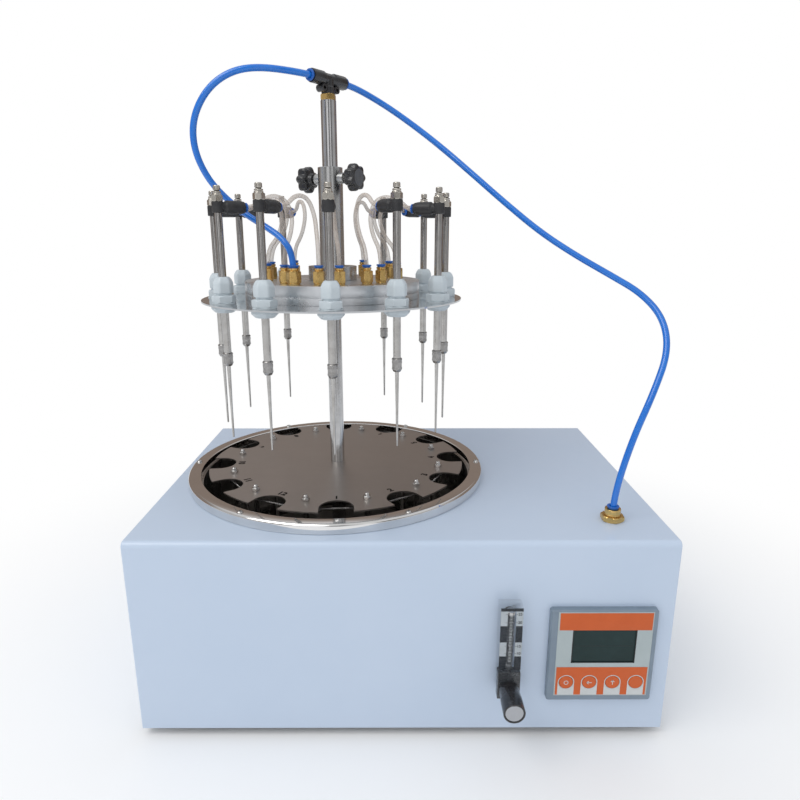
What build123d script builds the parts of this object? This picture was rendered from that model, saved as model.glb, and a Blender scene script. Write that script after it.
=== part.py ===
from build123d import *
import math
import os

# Nitrogen evaporator with a heated water bath, twelve needles over a twelve-place tube rack.
# Millimetres, +Z up. The front panel faces -Y. The origin is on the bench, under the middle of
# the outline that the rigid pieces take up. Every "rise" is a height above the cabinet's top.

# Cabinet, folded from sheet steel
control_bay_w = 166.7
under_bath = 38.0
sheet_t = 1.5
fold_r = 5.0
seam_r = 1.2
floor_gap = 0.3
foot_r = 12.0
foot_h = 8.0
foot_inset = 34.0
foot_edge = 1.5
foot_screw_r = 2.4
foot_nut_af = 8.0
foot_nut_h = 3.2
floor_slot_w = 4.0
floor_slot_l = 60.0
floor_slot_pitch = 14.0
floor_slot_count = 6
louvre_w = 46.0
louvre_h = 4.0
louvre_pitch = 12.0
louvre_rows = 5
louvre_drop = 40.0

# Water bath, its chromed rim and what heats it
bath_to_side = 26.7
bath_to_front = 28.7
bath_to_back = 16.7
ring_w = 13.0
ring_lap = 1.7
ring_h = 10.0
ring_t = 1.5
ring_edge_r = 1.2
ring_screw_edge = 5.0
ring_screw_count = 6
ring_screw_r = 1.6
ring_screw_head_r = 3.2
ring_screw_head_h = 1.9
ring_screw_l = 18.0
bowl_r = 143.3
bowl_t = 1.2
bowl_depth = 150.0
bowl_corner_r = 10.0
bowl_rim_w = 5.4
pivot_boss_r = 18.0
pivot_boss_h = 8.0
pivot_boss_slope = 3.0
pivot_pin_r = 5.0
pivot_pin_h = 30.0
pivot_pin_edge = 1.0
heater_r = 105.0
heater_inner_r = 24.0
heater_t = 8.0
heater_stud_r = 3.0
heater_stud_l = 14.0
heater_stud_count = 3
heater_nut_af = 10.0
heater_nut_h = 5.0
probe_r = 3.0
probe_l = 44.0
probe_rise = 16.0
probe_nut_af = 14.0
probe_nut_t = 5.0

# Fits
slide_clearance = 0.06
turn_clearance = 0.05
thrust_gap = 0.3
hole_gap = 0.1

# Tube rack: two plates on a column, twelve posts, a spring round the posts
places = 12
turn_at_rest = 4.6
rack_r = 136.8
rack_rise = 12.0
rack_plate_t = 1.5
notch_w = 32.5
notch_floor_r = 110.6
post_circle_r = 111.5
post_r = 2.5
post_nut_r = 4.0
post_nut_h = 2.4
post_dome_h = 3.4
post_end = 1.0
tray_r = 126.0
tray_drop = 110.0
tray_hole_r = 8.0
tray_hole_circle_r = 70.0
tray_hole_count = 8
spring_r = 1.4
spring_drop = 8.0
column_r = 7.5
column_rise = 378.0
column_seat_r = 12.0
column_seat_h = 5.0

# Tee fitting on the column
tee_hex_af = 13.2
tee_hex_h = 5.5
tee_thread_r = 4.5
tee_thread_l = 9.0
tee_axis_above = 13.0
tee_stem_r = 6.4
tee_barrel_r = 6.25
tee_neck_r = 5.2
tee_neck_half = 6.5
tee_half = 22.5
tee_angle = 53.0
tee_lug_r = 3.4
tee_lug_hole_r = 1.5
tee_lug_along = 8.6
tee_lug_below = 8.6
tee_lug_t = 9.0

# Push-in collets and what they hold
hose_r = 3.0
branch_r = 2.0
collet_wall = 2.4
collet_h = 2.5
collet_lip = 0.8
hose_grip = 6.0
hose_straight = 10.0

# Needle carrier: sleeve, mirror plate, gas manifold
sleeve_r = 12.2
sleeve_rise = 317.3
sleeve_foot_r = 18.0
sleeve_foot_h = 3.0
hub_r = 24.5
hub_h = 14.0
hub_screw_r = 3.0
hub_screw_l = 11.0
hub_screw_angle = 85.4
plate_r = 131.5
plate_t = 1.5
plate_rise = 191.0
manifold_r = 88.5
manifold_base_h = 6.3
manifold_cover_h = 11.2
manifold_groove = 1.0
channel_inner_r = 54.0
channel_outer_r = 78.0
channel_depth = 4.0
port_circle_r = 66.0
inlet_circle_r = 70.0
inlet_angle = -30.0
port_angles = (6.5, 30, 45.5, 80, 115, 150, 185, 220, 255, 285, 318, 350)
port_thread_r = 3.0
port_thread_l = 6.0
port_bore_r = 1.5
port_hex_af = 10.0
inlet_hex_af = 12.0
port_hex_h = 11.0
port_washer_t = 1.2
port_neck_h = 2.8

# Clamp knobs on the sleeve
clamp_angle = 54.4
clamp_drop = 10.5
clamp_stud_r = 3.0
clamp_boss_r = 5.2
clamp_boss_reach = 17.5
clamp_star_reach = 23.5
clamp_star_r = 10.4
clamp_lobes = 7
clamp_lobe_circle_r = 9.7
clamp_lobe_r = 3.3
clamp_star_t = 11.0
clamp_hub_r = 6.0
clamp_hub_h = 3.5
clamp_cap_r = 7.6
clamp_cap_t = 0.8

# Cable glands that grip the needle tubes
needle_circle_r = 116.0
gland_washer_r = 10.8
gland_washer_t = 1.0
gland_hex_af = 19.6
gland_hex_h = 7.0
gland_neck_r = 7.4
gland_neck_h = 1.8
gland_cap_r = 9.2
gland_cap_h = 15.0
gland_mouth_r = 5.6
gland_dome_h = 5.5
gland_nut_r = 12.2
gland_nut_h = 6.5
gland_nut_taper = 3.5
gland_nut_end_r = 8.6

# Needle assemblies
needle_tube_r = 3.55
chuck_rise = 131.0
chuck_r = 4.7
chuck_h = 12.7
chuck_taper_h = 2.6
chuck_taper = 1.2
chuck_grip = 5.0
needle_tip_rise = 59.0
needle_root_r = 1.9
needle_tip_r = 0.9
banjo_rise = 271.6
banjo_h = 9.7
banjo_r = 5.3
banjo_post_r = 2.6
arm_r = 6.0
arm_neck_r = 4.6
arm_neck_l = 6.4
arm_reach = 25.0
arm_nose = 2.0
arm_nose_taper = 1.2
valve_hex_af = 9.2
valve_hex_h = 5.6
valve_cone_h = 1.4
valve_cone_r = 3.9
screw_r = 1.6
screw_l = 6.0
screw_collar_r = 3.9
screw_collar_h = 1.4
screw_neck_r = 2.5
screw_neck_h = 1.1
screw_cap_r = 3.3
screw_cap_h = 4.2
screw_cap_edge = 0.9
needle_set = (0.0, 1.5, 0.5, -1.0, 1.0, 0.0, -1.0, 0.5, 0.0, -0.5, 1.0, 0.5)

# Flowmeter on the front panel
meter_x = 94.2
meter_drop = 54.0
meter_w = 20.0
meter_d = 15.0
meter_h = 90.5
meter_edge_r = 1.0
meter_bore_top_r = 4.2
meter_bore_foot_r = 3.4
meter_bore_l = 58.0
meter_bore_drop = 9.0
meter_way_r = 1.5
meter_port_way_r = 1.9
meter_port_below = 3.0
meter_port_r = 4.5
meter_port_l = 16.0
meter_port_nut_r = 7.0
meter_port_nut_t = 4.0
float_r = 3.0
float_h = 8.0
float_cone_h = 4.0
meter_knob_drop = 80.5
meter_knob_r = 9.4
meter_knob_front = 45.0
meter_knob_dish = 1.0
meter_knob_rim = 1.6
meter_knob_edge = 0.8
meter_shaft_r = 2.5
meter_shaft_l = 6.0

# Temperature controller on the front panel
control_x = 177.0
control_drop = 107.5
control_w = 94.0
control_h = 92.0
control_proud = 6.0
control_corner_r = 2.5
control_edge = 1.0
control_case_w = 86.0
control_case_h = 84.0
control_case_l = 70.0
face_w = 83.5
face_h = 84.8
face_side = 1.2
face_up = 1.7
face_t = 1.6
window_w = 55.5
window_h = 33.5
window_up = 8.7
window_t = 1.0
key_r = 6.3
key_gap = 0.25
key_proud = 0.9
key_edge = 0.4
key_travel = 0.8
key_pitch = 20.8
key_below = 28.5
key_stem_r = 2.0
key_stem_l = 2.6
key_count = 4

# Gas fittings in the cabinet
outlet_x = 193.5
outlet_set_back = 45.0
outlet_hex_af = 19.0
outlet_hex_h = 6.5
outlet_neck_r = 7.2
outlet_neck_h = 5.0
outlet_thread_r = 6.0
outlet_thread_l = 14.0
outlet_nut_h = 5.0
rear_inlet_x = 120.0
rear_inlet_z = 60.0
rear_reach = 26.0

# Mains inlet and switch in the rear wall
mains_x = -150.0
mains_z = 62.0
mains_w = 50.0
mains_h = 72.0
mains_t = 2.5
mains_corner_r = 4.0
mains_body_w = 30.0
mains_body_h = 60.0
mains_body_l = 30.0
socket_w = 24.0
socket_h = 16.5
socket_depth = 16.0
socket_below = 14.0
socket_pin_w = 2.0
socket_pin_h = 4.0
socket_pin_pitch = 7.0
socket_pin_l = 12.0
socket_earth_up = 2.5
switch_above = 17.0
switch_w = 21.0
switch_h = 15.0
switch_gap = 0.6
switch_well = 12.0
rocker_t = 7.0
rocker_sink = 2.5
rocker_pin_r = 1.5

# Routes of the two hoses between the fittings that hold them
loop_route = (
    (-127.2, -27.5, 594.0),
    (-152.5, -31.0, 589.0),
    (-174.0, -31.5, 574.0),
    (-188.5, -29.5, 550.0),
    (-189.7, -27.5, 524.0),
    (-180.0, -23.0, 499.0),
    (-164.0, -19.5, 481.0),
    (-145.5, -20.5, 466.5),
    (-126.0, -30.5, 456.0),
    (-110.0, -41.5, 446.0),
)
supply_route = (
    (-20.0, 59.5, 580.0),
    (9.4, 61.5, 561.5),
    (40.3, 52.5, 537.8),
    (70.4, 37.5, 511.2),
    (104.5, 19.5, 480.2),
    (137.4, 1.5, 451.9),
    (168.7, -16.5, 430.3),
    (199.4, -31.5, 412.2),
    (226.0, -45.5, 396.0),
    (241.5, -63.5, 375.0),
    (240.5, -84.5, 348.0),
    (225.0, -99.5, 313.5),
    (206.5, -107.5, 271.0),
)

# Places that follow from the sizes
ring_inner_r = bowl_r + ring_lap
ring_r = ring_inner_r + ring_w
ring_screw_circle_r = ring_r - ring_screw_edge
cabinet_h = bowl_depth + under_bath
cabinet_w = bath_to_side + 2 * bowl_r + control_bay_w
cabinet_d = bath_to_front + 2 * bowl_r + bath_to_back
column_x = bath_to_side + bowl_r - cabinet_w / 2
column_set_back = bath_to_front + bowl_r
top = foot_h + cabinet_h
front_y = -(cabinet_d + rear_reach - meter_knob_front) / 2
back_y = front_y + cabinet_d
middle_y = front_y + cabinet_d / 2
column_y = front_y + column_set_back
bowl_floor = top - bowl_depth
boss_top = bowl_floor + pivot_boss_h
pin_top = boss_top + pivot_pin_h
rack_top = top + rack_rise
rack_under = rack_top - rack_plate_t
tray_top = rack_top - tray_drop
tray_under = tray_top - rack_plate_t
column_top = top + column_rise
tee_z = column_top + tee_hex_h + tee_axis_above
plate_top = top + plate_rise
plate_under = plate_top - plate_t
manifold_split = plate_top + manifold_base_h
manifold_top = manifold_split + manifold_cover_h
sleeve_top = top + sleeve_rise
banjo_under = top + banjo_rise
banjo_top = banjo_under + banjo_h
arm_z = banjo_under + banjo_h / 2
port_face = port_washer_t + port_hex_h + port_neck_h
outlet_face = outlet_hex_h + outlet_neck_h
meter_axis_y = front_y - meter_d / 2
meter_bore_top = top - meter_drop - meter_bore_drop
meter_bore_foot = meter_bore_top - meter_bore_l
meter_knob_z = top - meter_drop - meter_knob_drop
step_angle = 360 / places
gap_angle = step_angle / 2

FLOOR = (Align.CENTER, Align.CENTER, Align.MIN)


def rod(r, z0, z1):
    """Round bar along Z between two heights."""
    return Pos(0, 0, z0) * Cylinder(r, z1 - z0, align=FLOOR)


def pipe(r_out, r_in, z0, z1):
    """Pipe along Z between two heights."""
    return rod(r_out, z0, z1) - rod(r_in, z0, z1)


def slab(w, h, z0, z1):
    """Rectangular block along Z between two heights."""
    return Pos(0, 0, z0) * Box(w, h, z1 - z0, align=FLOOR)


def hexagon(across_flats, z0, z1):
    """Hexagonal bar along Z between two heights."""
    section = RegularPolygon(across_flats / 2, 6, major_radius=False)
    return Pos(0, 0, z0) * extrude(section, z1 - z0)


def turned(*points):
    """Solid turned about Z from (radius, height) points."""
    outline = Polyline(*[(r, 0, z) for r, z in points], close=True)
    return revolve(make_face(outline), Axis.Z)


def around(r, angle, z=0):
    """Place at a radius and an angle from the front, with local +Y towards the column."""
    return Rot(0, 0, angle) * Pos(0, -r, z)


def at_column(piece):
    """Set a piece made about the Z axis on the column."""
    return Pos(column_x, column_y, 0) * piece


def on_rack(piece):
    """Set a piece made about the Z axis on the column, turned as the rack rests."""
    return Pos(column_x, column_y, 0) * Rot(0, 0, turn_at_rest) * piece


def on_front(x, z, piece):
    """Set a piece on the front panel: its +Z points out and its +Y points up."""
    return Pos(x, front_y, z) * Rot(90, 0, 0) * piece


def on_back(x, z, piece):
    """Set a piece on the rear wall: its +Z points out and its +Y points up."""
    return Pos(x, back_y, z) * Rot(0, 0, 180) * Rot(90, 0, 0) * piece


def copies(spots, piece):
    """The same piece at each of several places."""
    return [spot * piece for spot in spots]


def save(name, *pieces):
    """Write one named piece, or a group of pieces that move as one."""
    found = []
    for piece in pieces:
        found += piece.solids()
    shape = found[0] if len(found) == 1 else Compound(children=found)
    shape.label = name
    export_step(shape, f"parts/{name}.step")


# Cabinet
def housing_shell():
    """Front, top and back folded from one sheet, with the side panels welded in."""
    place = Pos(0, middle_y, 0)
    outer = place * slab(cabinet_w, cabinet_d, foot_h, top)
    folds = outer.edges().filter_by(Axis.X).group_by(Axis.Z)[-1]
    outer = fillet(folds, fold_r)
    outer = fillet(outer.edges().filter_by(Axis.Z), seam_r)
    inner = place * slab(cabinet_w - 2 * sheet_t, cabinet_d - 2 * sheet_t, foot_h, top - sheet_t)
    folds = inner.edges().filter_by(Axis.X).group_by(Axis.Z)[-1]
    inner = fillet(folds, fold_r - sheet_t)
    shell = outer - inner
    through = (top - 4 * sheet_t, top + sheet_t)
    shell -= at_column(rod(bowl_r + bowl_t + hole_gap, *through))
    for spot in ring_screw_spots():
        shell -= at_column(spot * rod(ring_screw_r + hole_gap, *through))
    shell -= Pos(outlet_x, front_y + outlet_set_back, 0) * rod(outlet_thread_r + hole_gap, *through)
    case_hole = Box(control_case_w + 2 * hole_gap, control_case_h + 2 * hole_gap, 4 * sheet_t)
    shell -= on_front(control_x, top - control_drop, case_hole)
    port_hole = Cylinder(meter_port_r + hole_gap, 4 * sheet_t)
    for z in meter_port_heights():
        shell -= on_front(meter_x, z, port_hole)
    shell -= on_back(rear_inlet_x, rear_inlet_z, Cylinder(outlet_thread_r + hole_gap, 4 * sheet_t))
    mains_hole = Box(mains_body_w + 2 * hole_gap, mains_body_h + 2 * hole_gap, 4 * sheet_t)
    shell -= on_back(mains_x, mains_z, mains_hole)
    louvre = Box(louvre_w, louvre_h, 4 * sheet_t)
    for row in range(louvre_rows):
        z = top - louvre_drop - row * louvre_pitch
        for side in (-1, 1):
            shell -= on_back(side * louvre_w, z, louvre)
    return shell


def ring_screw_spots():
    """Places of the screws in the bath's rim."""
    pitch = 360 / ring_screw_count
    return [around(ring_screw_circle_r, pitch * (k + 0.5)) for k in range(ring_screw_count)]


def foot_spots():
    """Places of the feet under the floor."""
    x = cabinet_w / 2 - foot_inset
    ys = (front_y + foot_inset, back_y - foot_inset)
    return [Pos(side * x, y, 0) for side in (-1, 1) for y in ys]


def base_plate():
    """Floor of the cabinet, let into the folded shell, with slots that let air in."""
    side_gap = 2 * (sheet_t + floor_gap)
    plate = slab(cabinet_w - side_gap, cabinet_d - side_gap, foot_h, foot_h + sheet_t)
    plate = Pos(0, middle_y, 0) * plate
    slot = Box(floor_slot_l, floor_slot_w, 4 * sheet_t)
    for k in range(floor_slot_count):
        y = column_y + (k - (floor_slot_count - 1) / 2) * floor_slot_pitch
        plate -= Pos(column_x, y, foot_h) * slot
    for spot in foot_spots():
        plate -= spot * rod(foot_screw_r + hole_gap, foot_h - sheet_t, foot_h + 2 * sheet_t)
    return plate


def rubber_feet():
    """Four round feet, each with its screw through the floor and a nut above it."""
    recess_h = foot_h / 2
    head_r = 2 * foot_screw_r
    pad = turned(
        (foot_screw_r, recess_h), (head_r, recess_h), (head_r, 0), (foot_r - foot_edge, 0),
        (foot_r, foot_edge), (foot_r, foot_h), (foot_screw_r, foot_h))
    nut_z = foot_h + sheet_t
    screw = rod(head_r, recess_h - foot_screw_r, recess_h) + rod(foot_screw_r, recess_h, nut_z)
    screw += hexagon(foot_nut_af, nut_z, nut_z + foot_nut_h)
    return copies(foot_spots(), pad) + copies(foot_spots(), screw)


# Bath
def bath_bowl():
    """Drawn bowl with a flat rim, and a welded boss with the pin that the rack turns on."""
    outer = rod(bowl_r + bowl_t, bowl_floor - bowl_t, top + bowl_t)
    outer = fillet(outer.edges().group_by(Axis.Z)[0], bowl_corner_r + bowl_t)
    outer += rod(bowl_r + bowl_t + bowl_rim_w, top, top + bowl_t)
    inner = rod(bowl_r, bowl_floor, top + 2 * bowl_t)
    inner = fillet(inner.edges().group_by(Axis.Z)[0], bowl_corner_r)
    bowl = outer - inner
    bowl -= Pos(bowl_r, 0, bowl_floor + probe_rise) * Rot(0, 90, 0) * Cylinder(probe_r, bowl_corner_r)
    weld = bowl_floor - bowl_t / 2
    boss = turned(
        (0, weld), (pivot_boss_r, weld), (pivot_boss_r, boss_top - pivot_boss_slope),
        (pivot_boss_r - pivot_boss_slope, boss_top), (pivot_pin_r, boss_top),
        (pivot_pin_r, pin_top - pivot_pin_edge), (pivot_pin_r - pivot_pin_edge, pin_top), (0, pin_top))
    return at_column(bowl + boss)


def bath_ring():
    """Chromed rim: a turned channel that hides the bowl's edge and the hole in the cabinet."""
    face = top + ring_h
    seat = top + bowl_t
    ring = turned(
        (ring_inner_r, seat), (ring_inner_r, face - ring_edge_r), (ring_inner_r + ring_edge_r, face),
        (ring_r - ring_edge_r, face), (ring_r, face - ring_edge_r), (ring_r, top), (ring_r - ring_t, top),
        (ring_r - ring_t, face - ring_t), (ring_inner_r + ring_t, face - ring_t),
        (ring_inner_r + ring_t, seat))
    for spot in ring_screw_spots():
        ring -= spot * rod(ring_screw_r + hole_gap, top, face + ring_t)
    return at_column(ring)


def ring_screws():
    """Round-headed screws that clamp the rim and the bowl to the cabinet, with their nuts."""
    face = top + ring_h
    crown = face + ring_screw_head_h
    head = turned(
        (0, face), (ring_screw_head_r, face), (ring_screw_head_r, face + ring_screw_head_h * 0.3),
        (ring_screw_head_r * 0.65, crown - ring_screw_head_h * 0.1), (0, crown))
    nut_top = top - sheet_t
    nut = rod(ring_screw_head_r, nut_top - ring_screw_head_h, nut_top)
    screw = head + nut + rod(ring_screw_r, face - ring_screw_l, face)
    return [at_column(piece) for piece in copies(ring_screw_spots(), screw)]


def heater_and_probe():
    """Heating plate under the bowl on its studs, and the sensor through the bowl's wall."""
    under = bowl_floor - bowl_t
    plate = pipe(heater_r, heater_inner_r, under - heater_t, under)
    stud_circle_r = (heater_r + heater_inner_r) / 2
    spots = [around(stud_circle_r, 360 / heater_stud_count * k) for k in range(heater_stud_count)]
    for spot in spots:
        plate -= spot * rod(heater_stud_r + hole_gap, under - heater_t, under)
    stud = rod(heater_stud_r, under - heater_stud_l, under)
    stud += hexagon(heater_nut_af, under - heater_t - heater_nut_h, under - heater_t)
    probe = rod(probe_r, -probe_l, bowl_t + probe_nut_t)
    probe += hexagon(probe_nut_af, bowl_t, bowl_t + probe_nut_t)
    probe = Pos(bowl_r, 0, bowl_floor + probe_rise) * Rot(0, 90, 0) * probe
    return [at_column(piece) for piece in [plate, probe] + copies(spots, stud)]


# Tube rack
def post_spots():
    """Places of the posts, midway between the tube places."""
    return [around(post_circle_r, step_angle * k + gap_angle) for k in range(places)]


def rack_top_plate():
    """Disc with a notch at each tube place, open to the rim."""
    disc = Circle(rack_r) - Circle(column_r + hole_gap)
    reach = rack_r - notch_floor_r
    notch = Pos(0, -reach) * Rectangle(notch_w, 2 * reach) + Circle(notch_w / 2)
    for k in range(places):
        disc -= around(notch_floor_r + notch_w / 2, step_angle * k) * notch
    for spot in post_spots():
        disc -= spot * Circle(post_r + hole_gap)
    return on_rack(Pos(0, 0, rack_under) * extrude(disc, rack_plate_t))


def rack_lower_plate():
    """Plain disc that the tubes stand on, with holes that let the water round them."""
    disc = Circle(tray_r) - Circle(column_r + hole_gap)
    for k in range(tray_hole_count):
        disc -= around(tray_hole_circle_r, 360 / tray_hole_count * k) * Circle(tray_hole_r)
    for spot in post_spots():
        disc -= spot * Circle(post_r + hole_gap)
    return on_rack(Pos(0, 0, tray_under) * extrude(disc, rack_plate_t))


def rack_posts():
    """Posts that join the two plates, each with its collars, lower nut and dome nut."""
    crown = rack_top + post_nut_h
    foot = tray_under - post_nut_h
    post = turned(
        (0, foot - post_end), (post_r, foot - post_end), (post_r, foot), (post_nut_r, foot),
        (post_nut_r, tray_under), (post_r, tray_under), (post_r, tray_top), (post_nut_r, tray_top),
        (post_nut_r, tray_top + post_nut_h), (post_r, tray_top + post_nut_h),
        (post_r, rack_under - post_nut_h), (post_nut_r, rack_under - post_nut_h),
        (post_nut_r, rack_under), (post_r, rack_under), (post_r, rack_top), (post_nut_r, rack_top),
        (post_nut_r, crown), (post_nut_r * 0.85, crown + post_dome_h * 0.6),
        (post_nut_r * 0.4, crown + post_dome_h), (0, crown + post_dome_h))
    return [on_rack(piece) for piece in copies(post_spots(), post)]


def tube_spring():
    """Tension spring round the posts, which steadies the tubes, as the ring it fills."""
    bend_r = post_r + spring_r + hole_gap
    corner_r = post_circle_r + bend_r / math.cos(math.radians(gap_angle))
    corners = []
    for k in range(places):
        a = math.radians(step_angle * k + gap_angle)
        corners.append((corner_r * math.sin(a), -corner_r * math.cos(a), rack_top - spring_drop))
    path = FilletPolyline(*corners, radius=bend_r, close=True)
    section = Plane(origin=path @ 0, z_dir=path % 0) * Circle(spring_r)
    return on_rack(sweep(section, path=path))


def column():
    """Column that the rack hangs on, bored at the foot for the pivot pin."""
    foot = boss_top + thrust_gap
    bar = rod(column_r, foot, column_top)
    bar += rod(column_seat_r, tray_under - column_seat_h, tray_under)
    bar += rod(column_seat_r, rack_under - column_seat_h, rack_under)
    bar -= rod(pivot_pin_r + turn_clearance, foot, pin_top + pivot_pin_edge)
    bar -= rod(tee_thread_r, column_top - tee_thread_l, column_top)
    return on_rack(bar)


def collet(r):
    """Release collet of a push-in fitting, about Z, standing on z = 0."""
    wide = r + collet_wall
    return turned(
        (r + hole_gap, 0), (wide - collet_lip, 0), (wide - collet_lip, collet_h * 0.35),
        (wide, collet_h * 0.5), (wide, collet_h), (r + hole_gap, collet_h))


def tee_fitting():
    """Hexagonal nipple in the column, the tee body with two lugs, and its two collets."""
    base = column_top + tee_hex_h
    nipple = hexagon(tee_hex_af, column_top, base) + rod(tee_thread_r, column_top - tee_thread_l, column_top)
    barrel = rod(tee_neck_r, -tee_half, tee_half)
    barrel += rod(tee_barrel_r, tee_neck_half, tee_half)
    barrel += rod(tee_barrel_r, -tee_half, -tee_neck_half)
    barrel -= rod(hose_r + hole_gap, tee_half - hose_grip, tee_half)
    barrel -= rod(hose_r + hole_gap, -tee_half, hose_grip - tee_half)
    body = rod(tee_stem_r, base, tee_z) + Pos(0, 0, tee_z) * Rot(0, 90, 0) * barrel
    for side in (-1, 1):
        lug = Pos(side * tee_lug_along, 0, tee_z - tee_lug_below) * Rot(90, 0, 0)
        body += lug * Cylinder(tee_lug_r, tee_lug_t)
        body -= lug * Cylinder(tee_lug_hole_r, tee_lug_t)
    ring = Pos(0, 0, tee_z) * Rot(0, 90, 0) * Pos(0, 0, tee_half) * collet(hose_r)
    pieces = [nipple]
    for turn, piece in ((0, body), (0, ring), (180, ring)):
        pieces.append(Rot(0, 0, tee_angle + turn) * piece)
    return [at_column(piece) for piece in pieces]


# Needle carrier
def clamp_place(side):
    """Place on one side of the sleeve whose +Z points along the clamp screw, out from the column."""
    turn = clamp_angle + 90 * (1 - side)
    return Rot(0, 0, turn) * Pos(0, 0, sleeve_top - clamp_drop) * Rot(90, 0, 0)


def lift_sleeve():
    """Sleeve that slides on the column, its foot under the plate, its hub and set screw."""
    foot = plate_under - sleeve_foot_h
    sleeve = rod(sleeve_r, plate_under, sleeve_top) + rod(sleeve_foot_r, foot, plate_under)
    for side in (-1, 1):
        sleeve += clamp_place(side) * rod(clamp_boss_r, column_r, clamp_boss_reach)
    sleeve -= rod(column_r + slide_clearance, foot, sleeve_top)
    for side in (-1, 1):
        sleeve -= clamp_place(side) * rod(clamp_stud_r + turn_clearance, column_r, clamp_boss_reach)
    hub = pipe(hub_r, sleeve_r + hole_gap, manifold_top, manifold_top + hub_h)
    screw_place = Pos(0, 0, manifold_top + hub_h / 2) * Rot(0, 0, hub_screw_angle) * Rot(90, 0, 0)
    hub -= screw_place * rod(hub_screw_r, hub_r - hub_screw_l, hub_r)
    screw = screw_place * rod(hub_screw_r, hub_r - hub_screw_l, hub_r - hole_gap)
    return [on_rack(piece) for piece in (sleeve, hub, screw)]


def gland_spots():
    """Places of the needles on the carrier."""
    return [around(needle_circle_r, step_angle * k) for k in range(places)]


def gland_plate():
    """Mirror-polished disc that carries the twelve glands."""
    disc = Circle(plate_r) - Circle(sleeve_r + hole_gap)
    for spot in gland_spots():
        disc -= spot * Circle(gland_neck_r + hole_gap)
    return on_rack(Pos(0, 0, plate_under) * extrude(disc, plate_t))


def port_spots():
    """Places of the twelve outlet ports of the manifold."""
    return [around(port_circle_r, angle) for angle in port_angles]


def manifold_block():
    """Aluminium base and cover, with the ring-shaped gas channel cut in the cover."""
    base = pipe(manifold_r, sleeve_r + hole_gap, plate_top, manifold_split)
    cover = pipe(manifold_r, sleeve_r + hole_gap, manifold_split, manifold_top)
    groove_top = manifold_split + manifold_groove
    cover -= pipe(manifold_r, manifold_r - manifold_groove, manifold_split, groove_top)
    cover -= pipe(channel_outer_r, channel_inner_r, manifold_split, manifold_split + channel_depth)
    for spot in port_spots() + [around(inlet_circle_r, inlet_angle)]:
        cover -= spot * rod(port_thread_r, manifold_top - port_thread_l, manifold_top)
        cover -= spot * rod(port_bore_r, manifold_split, manifold_top)
    return [on_rack(piece) for piece in (base, cover)]


def port_fitting(r, hex_af):
    """Push-in fitting about Z, standing on z = 0, and its collet."""
    neck = port_washer_t + port_hex_h
    body = rod(hex_af / 2, 0, port_washer_t) + hexagon(hex_af, port_washer_t, neck)
    body += rod(r + collet_wall, neck, port_face) + rod(port_thread_r, -port_thread_l, 0)
    body -= rod(r + hole_gap, port_face - hose_grip, port_face)
    body -= rod(port_bore_r, -port_thread_l, port_face)
    return [body, Pos(0, 0, port_face) * collet(r)]


def manifold_fittings():
    """Twelve fittings for the branch tubes and the larger one that the hose feeds."""
    pieces = []
    for piece in port_fitting(branch_r, port_hex_af):
        pieces += copies(port_spots(), piece)
    for piece in port_fitting(hose_r, inlet_hex_af):
        pieces.append(around(inlet_circle_r, inlet_angle) * piece)
    return [on_rack(Pos(0, 0, manifold_top) * piece) for piece in pieces]


def branch_tube(k):
    """Clear tube from a needle's arm over and down to its port."""
    start_r = needle_circle_r - arm_reach + hose_grip
    start_z = arm_z + needle_set[k]
    face_z = manifold_top + port_face
    profile = (
        (start_r, start_z),
        (start_r - 17, start_z),
        (start_r - 28, start_z + 11.5),
        (start_r - 43, start_z + 9.5),
        (start_r - 49.5, start_z - 5.5),
        (start_r - 44, start_z - 24),
        (port_circle_r, face_z + 14),
        (port_circle_r, face_z - hose_grip),
    )
    swing = port_angles[k] - step_angle * k
    points = []
    for i, (r, z) in enumerate(profile):
        share = min(max(i - 1, 0) / (len(profile) - 3), 1)
        a = math.radians(step_angle * k + swing * share)
        points.append((r * math.sin(a), -r * math.cos(a), z))
    return on_rack(hose(f"branch tube {k + 1}", points, branch_r))


def cable_gland():
    """Gland about Z with the plate's top at z = 0: body, cap and lock nut."""
    hex_top = gland_washer_t + gland_hex_h
    seat = hex_top + gland_neck_h
    cap_top = seat + gland_cap_h
    grip = needle_tube_r + slide_clearance
    nut_end = -plate_t - gland_nut_h
    spigot_top = seat + gland_neck_h
    body = rod(gland_washer_r, 0, gland_washer_t) + hexagon(gland_hex_af, gland_washer_t, hex_top)
    body += rod(gland_neck_r, nut_end, spigot_top)
    body -= rod(needle_tube_r + thrust_gap, nut_end, spigot_top)
    cap = turned(
        (grip, seat), (gland_cap_r, seat), (gland_cap_r, cap_top - gland_dome_h),
        (gland_cap_r * 0.9, cap_top - gland_dome_h * 0.45), (gland_mouth_r, cap_top), (grip, cap_top))
    cap -= rod(gland_neck_r, seat, spigot_top)
    nut = turned(
        (gland_neck_r, -plate_t), (gland_nut_r, -plate_t), (gland_nut_r, nut_end + gland_nut_taper),
        (gland_nut_end_r, nut_end), (gland_neck_r, nut_end))
    return [body, cap, nut]


def cable_glands():
    """Twelve glands, each seated through the plate."""
    pieces = []
    for piece in cable_gland():
        pieces += copies(gland_spots(), Pos(0, 0, plate_top) * piece)
    return [on_rack(piece) for piece in pieces]


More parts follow.
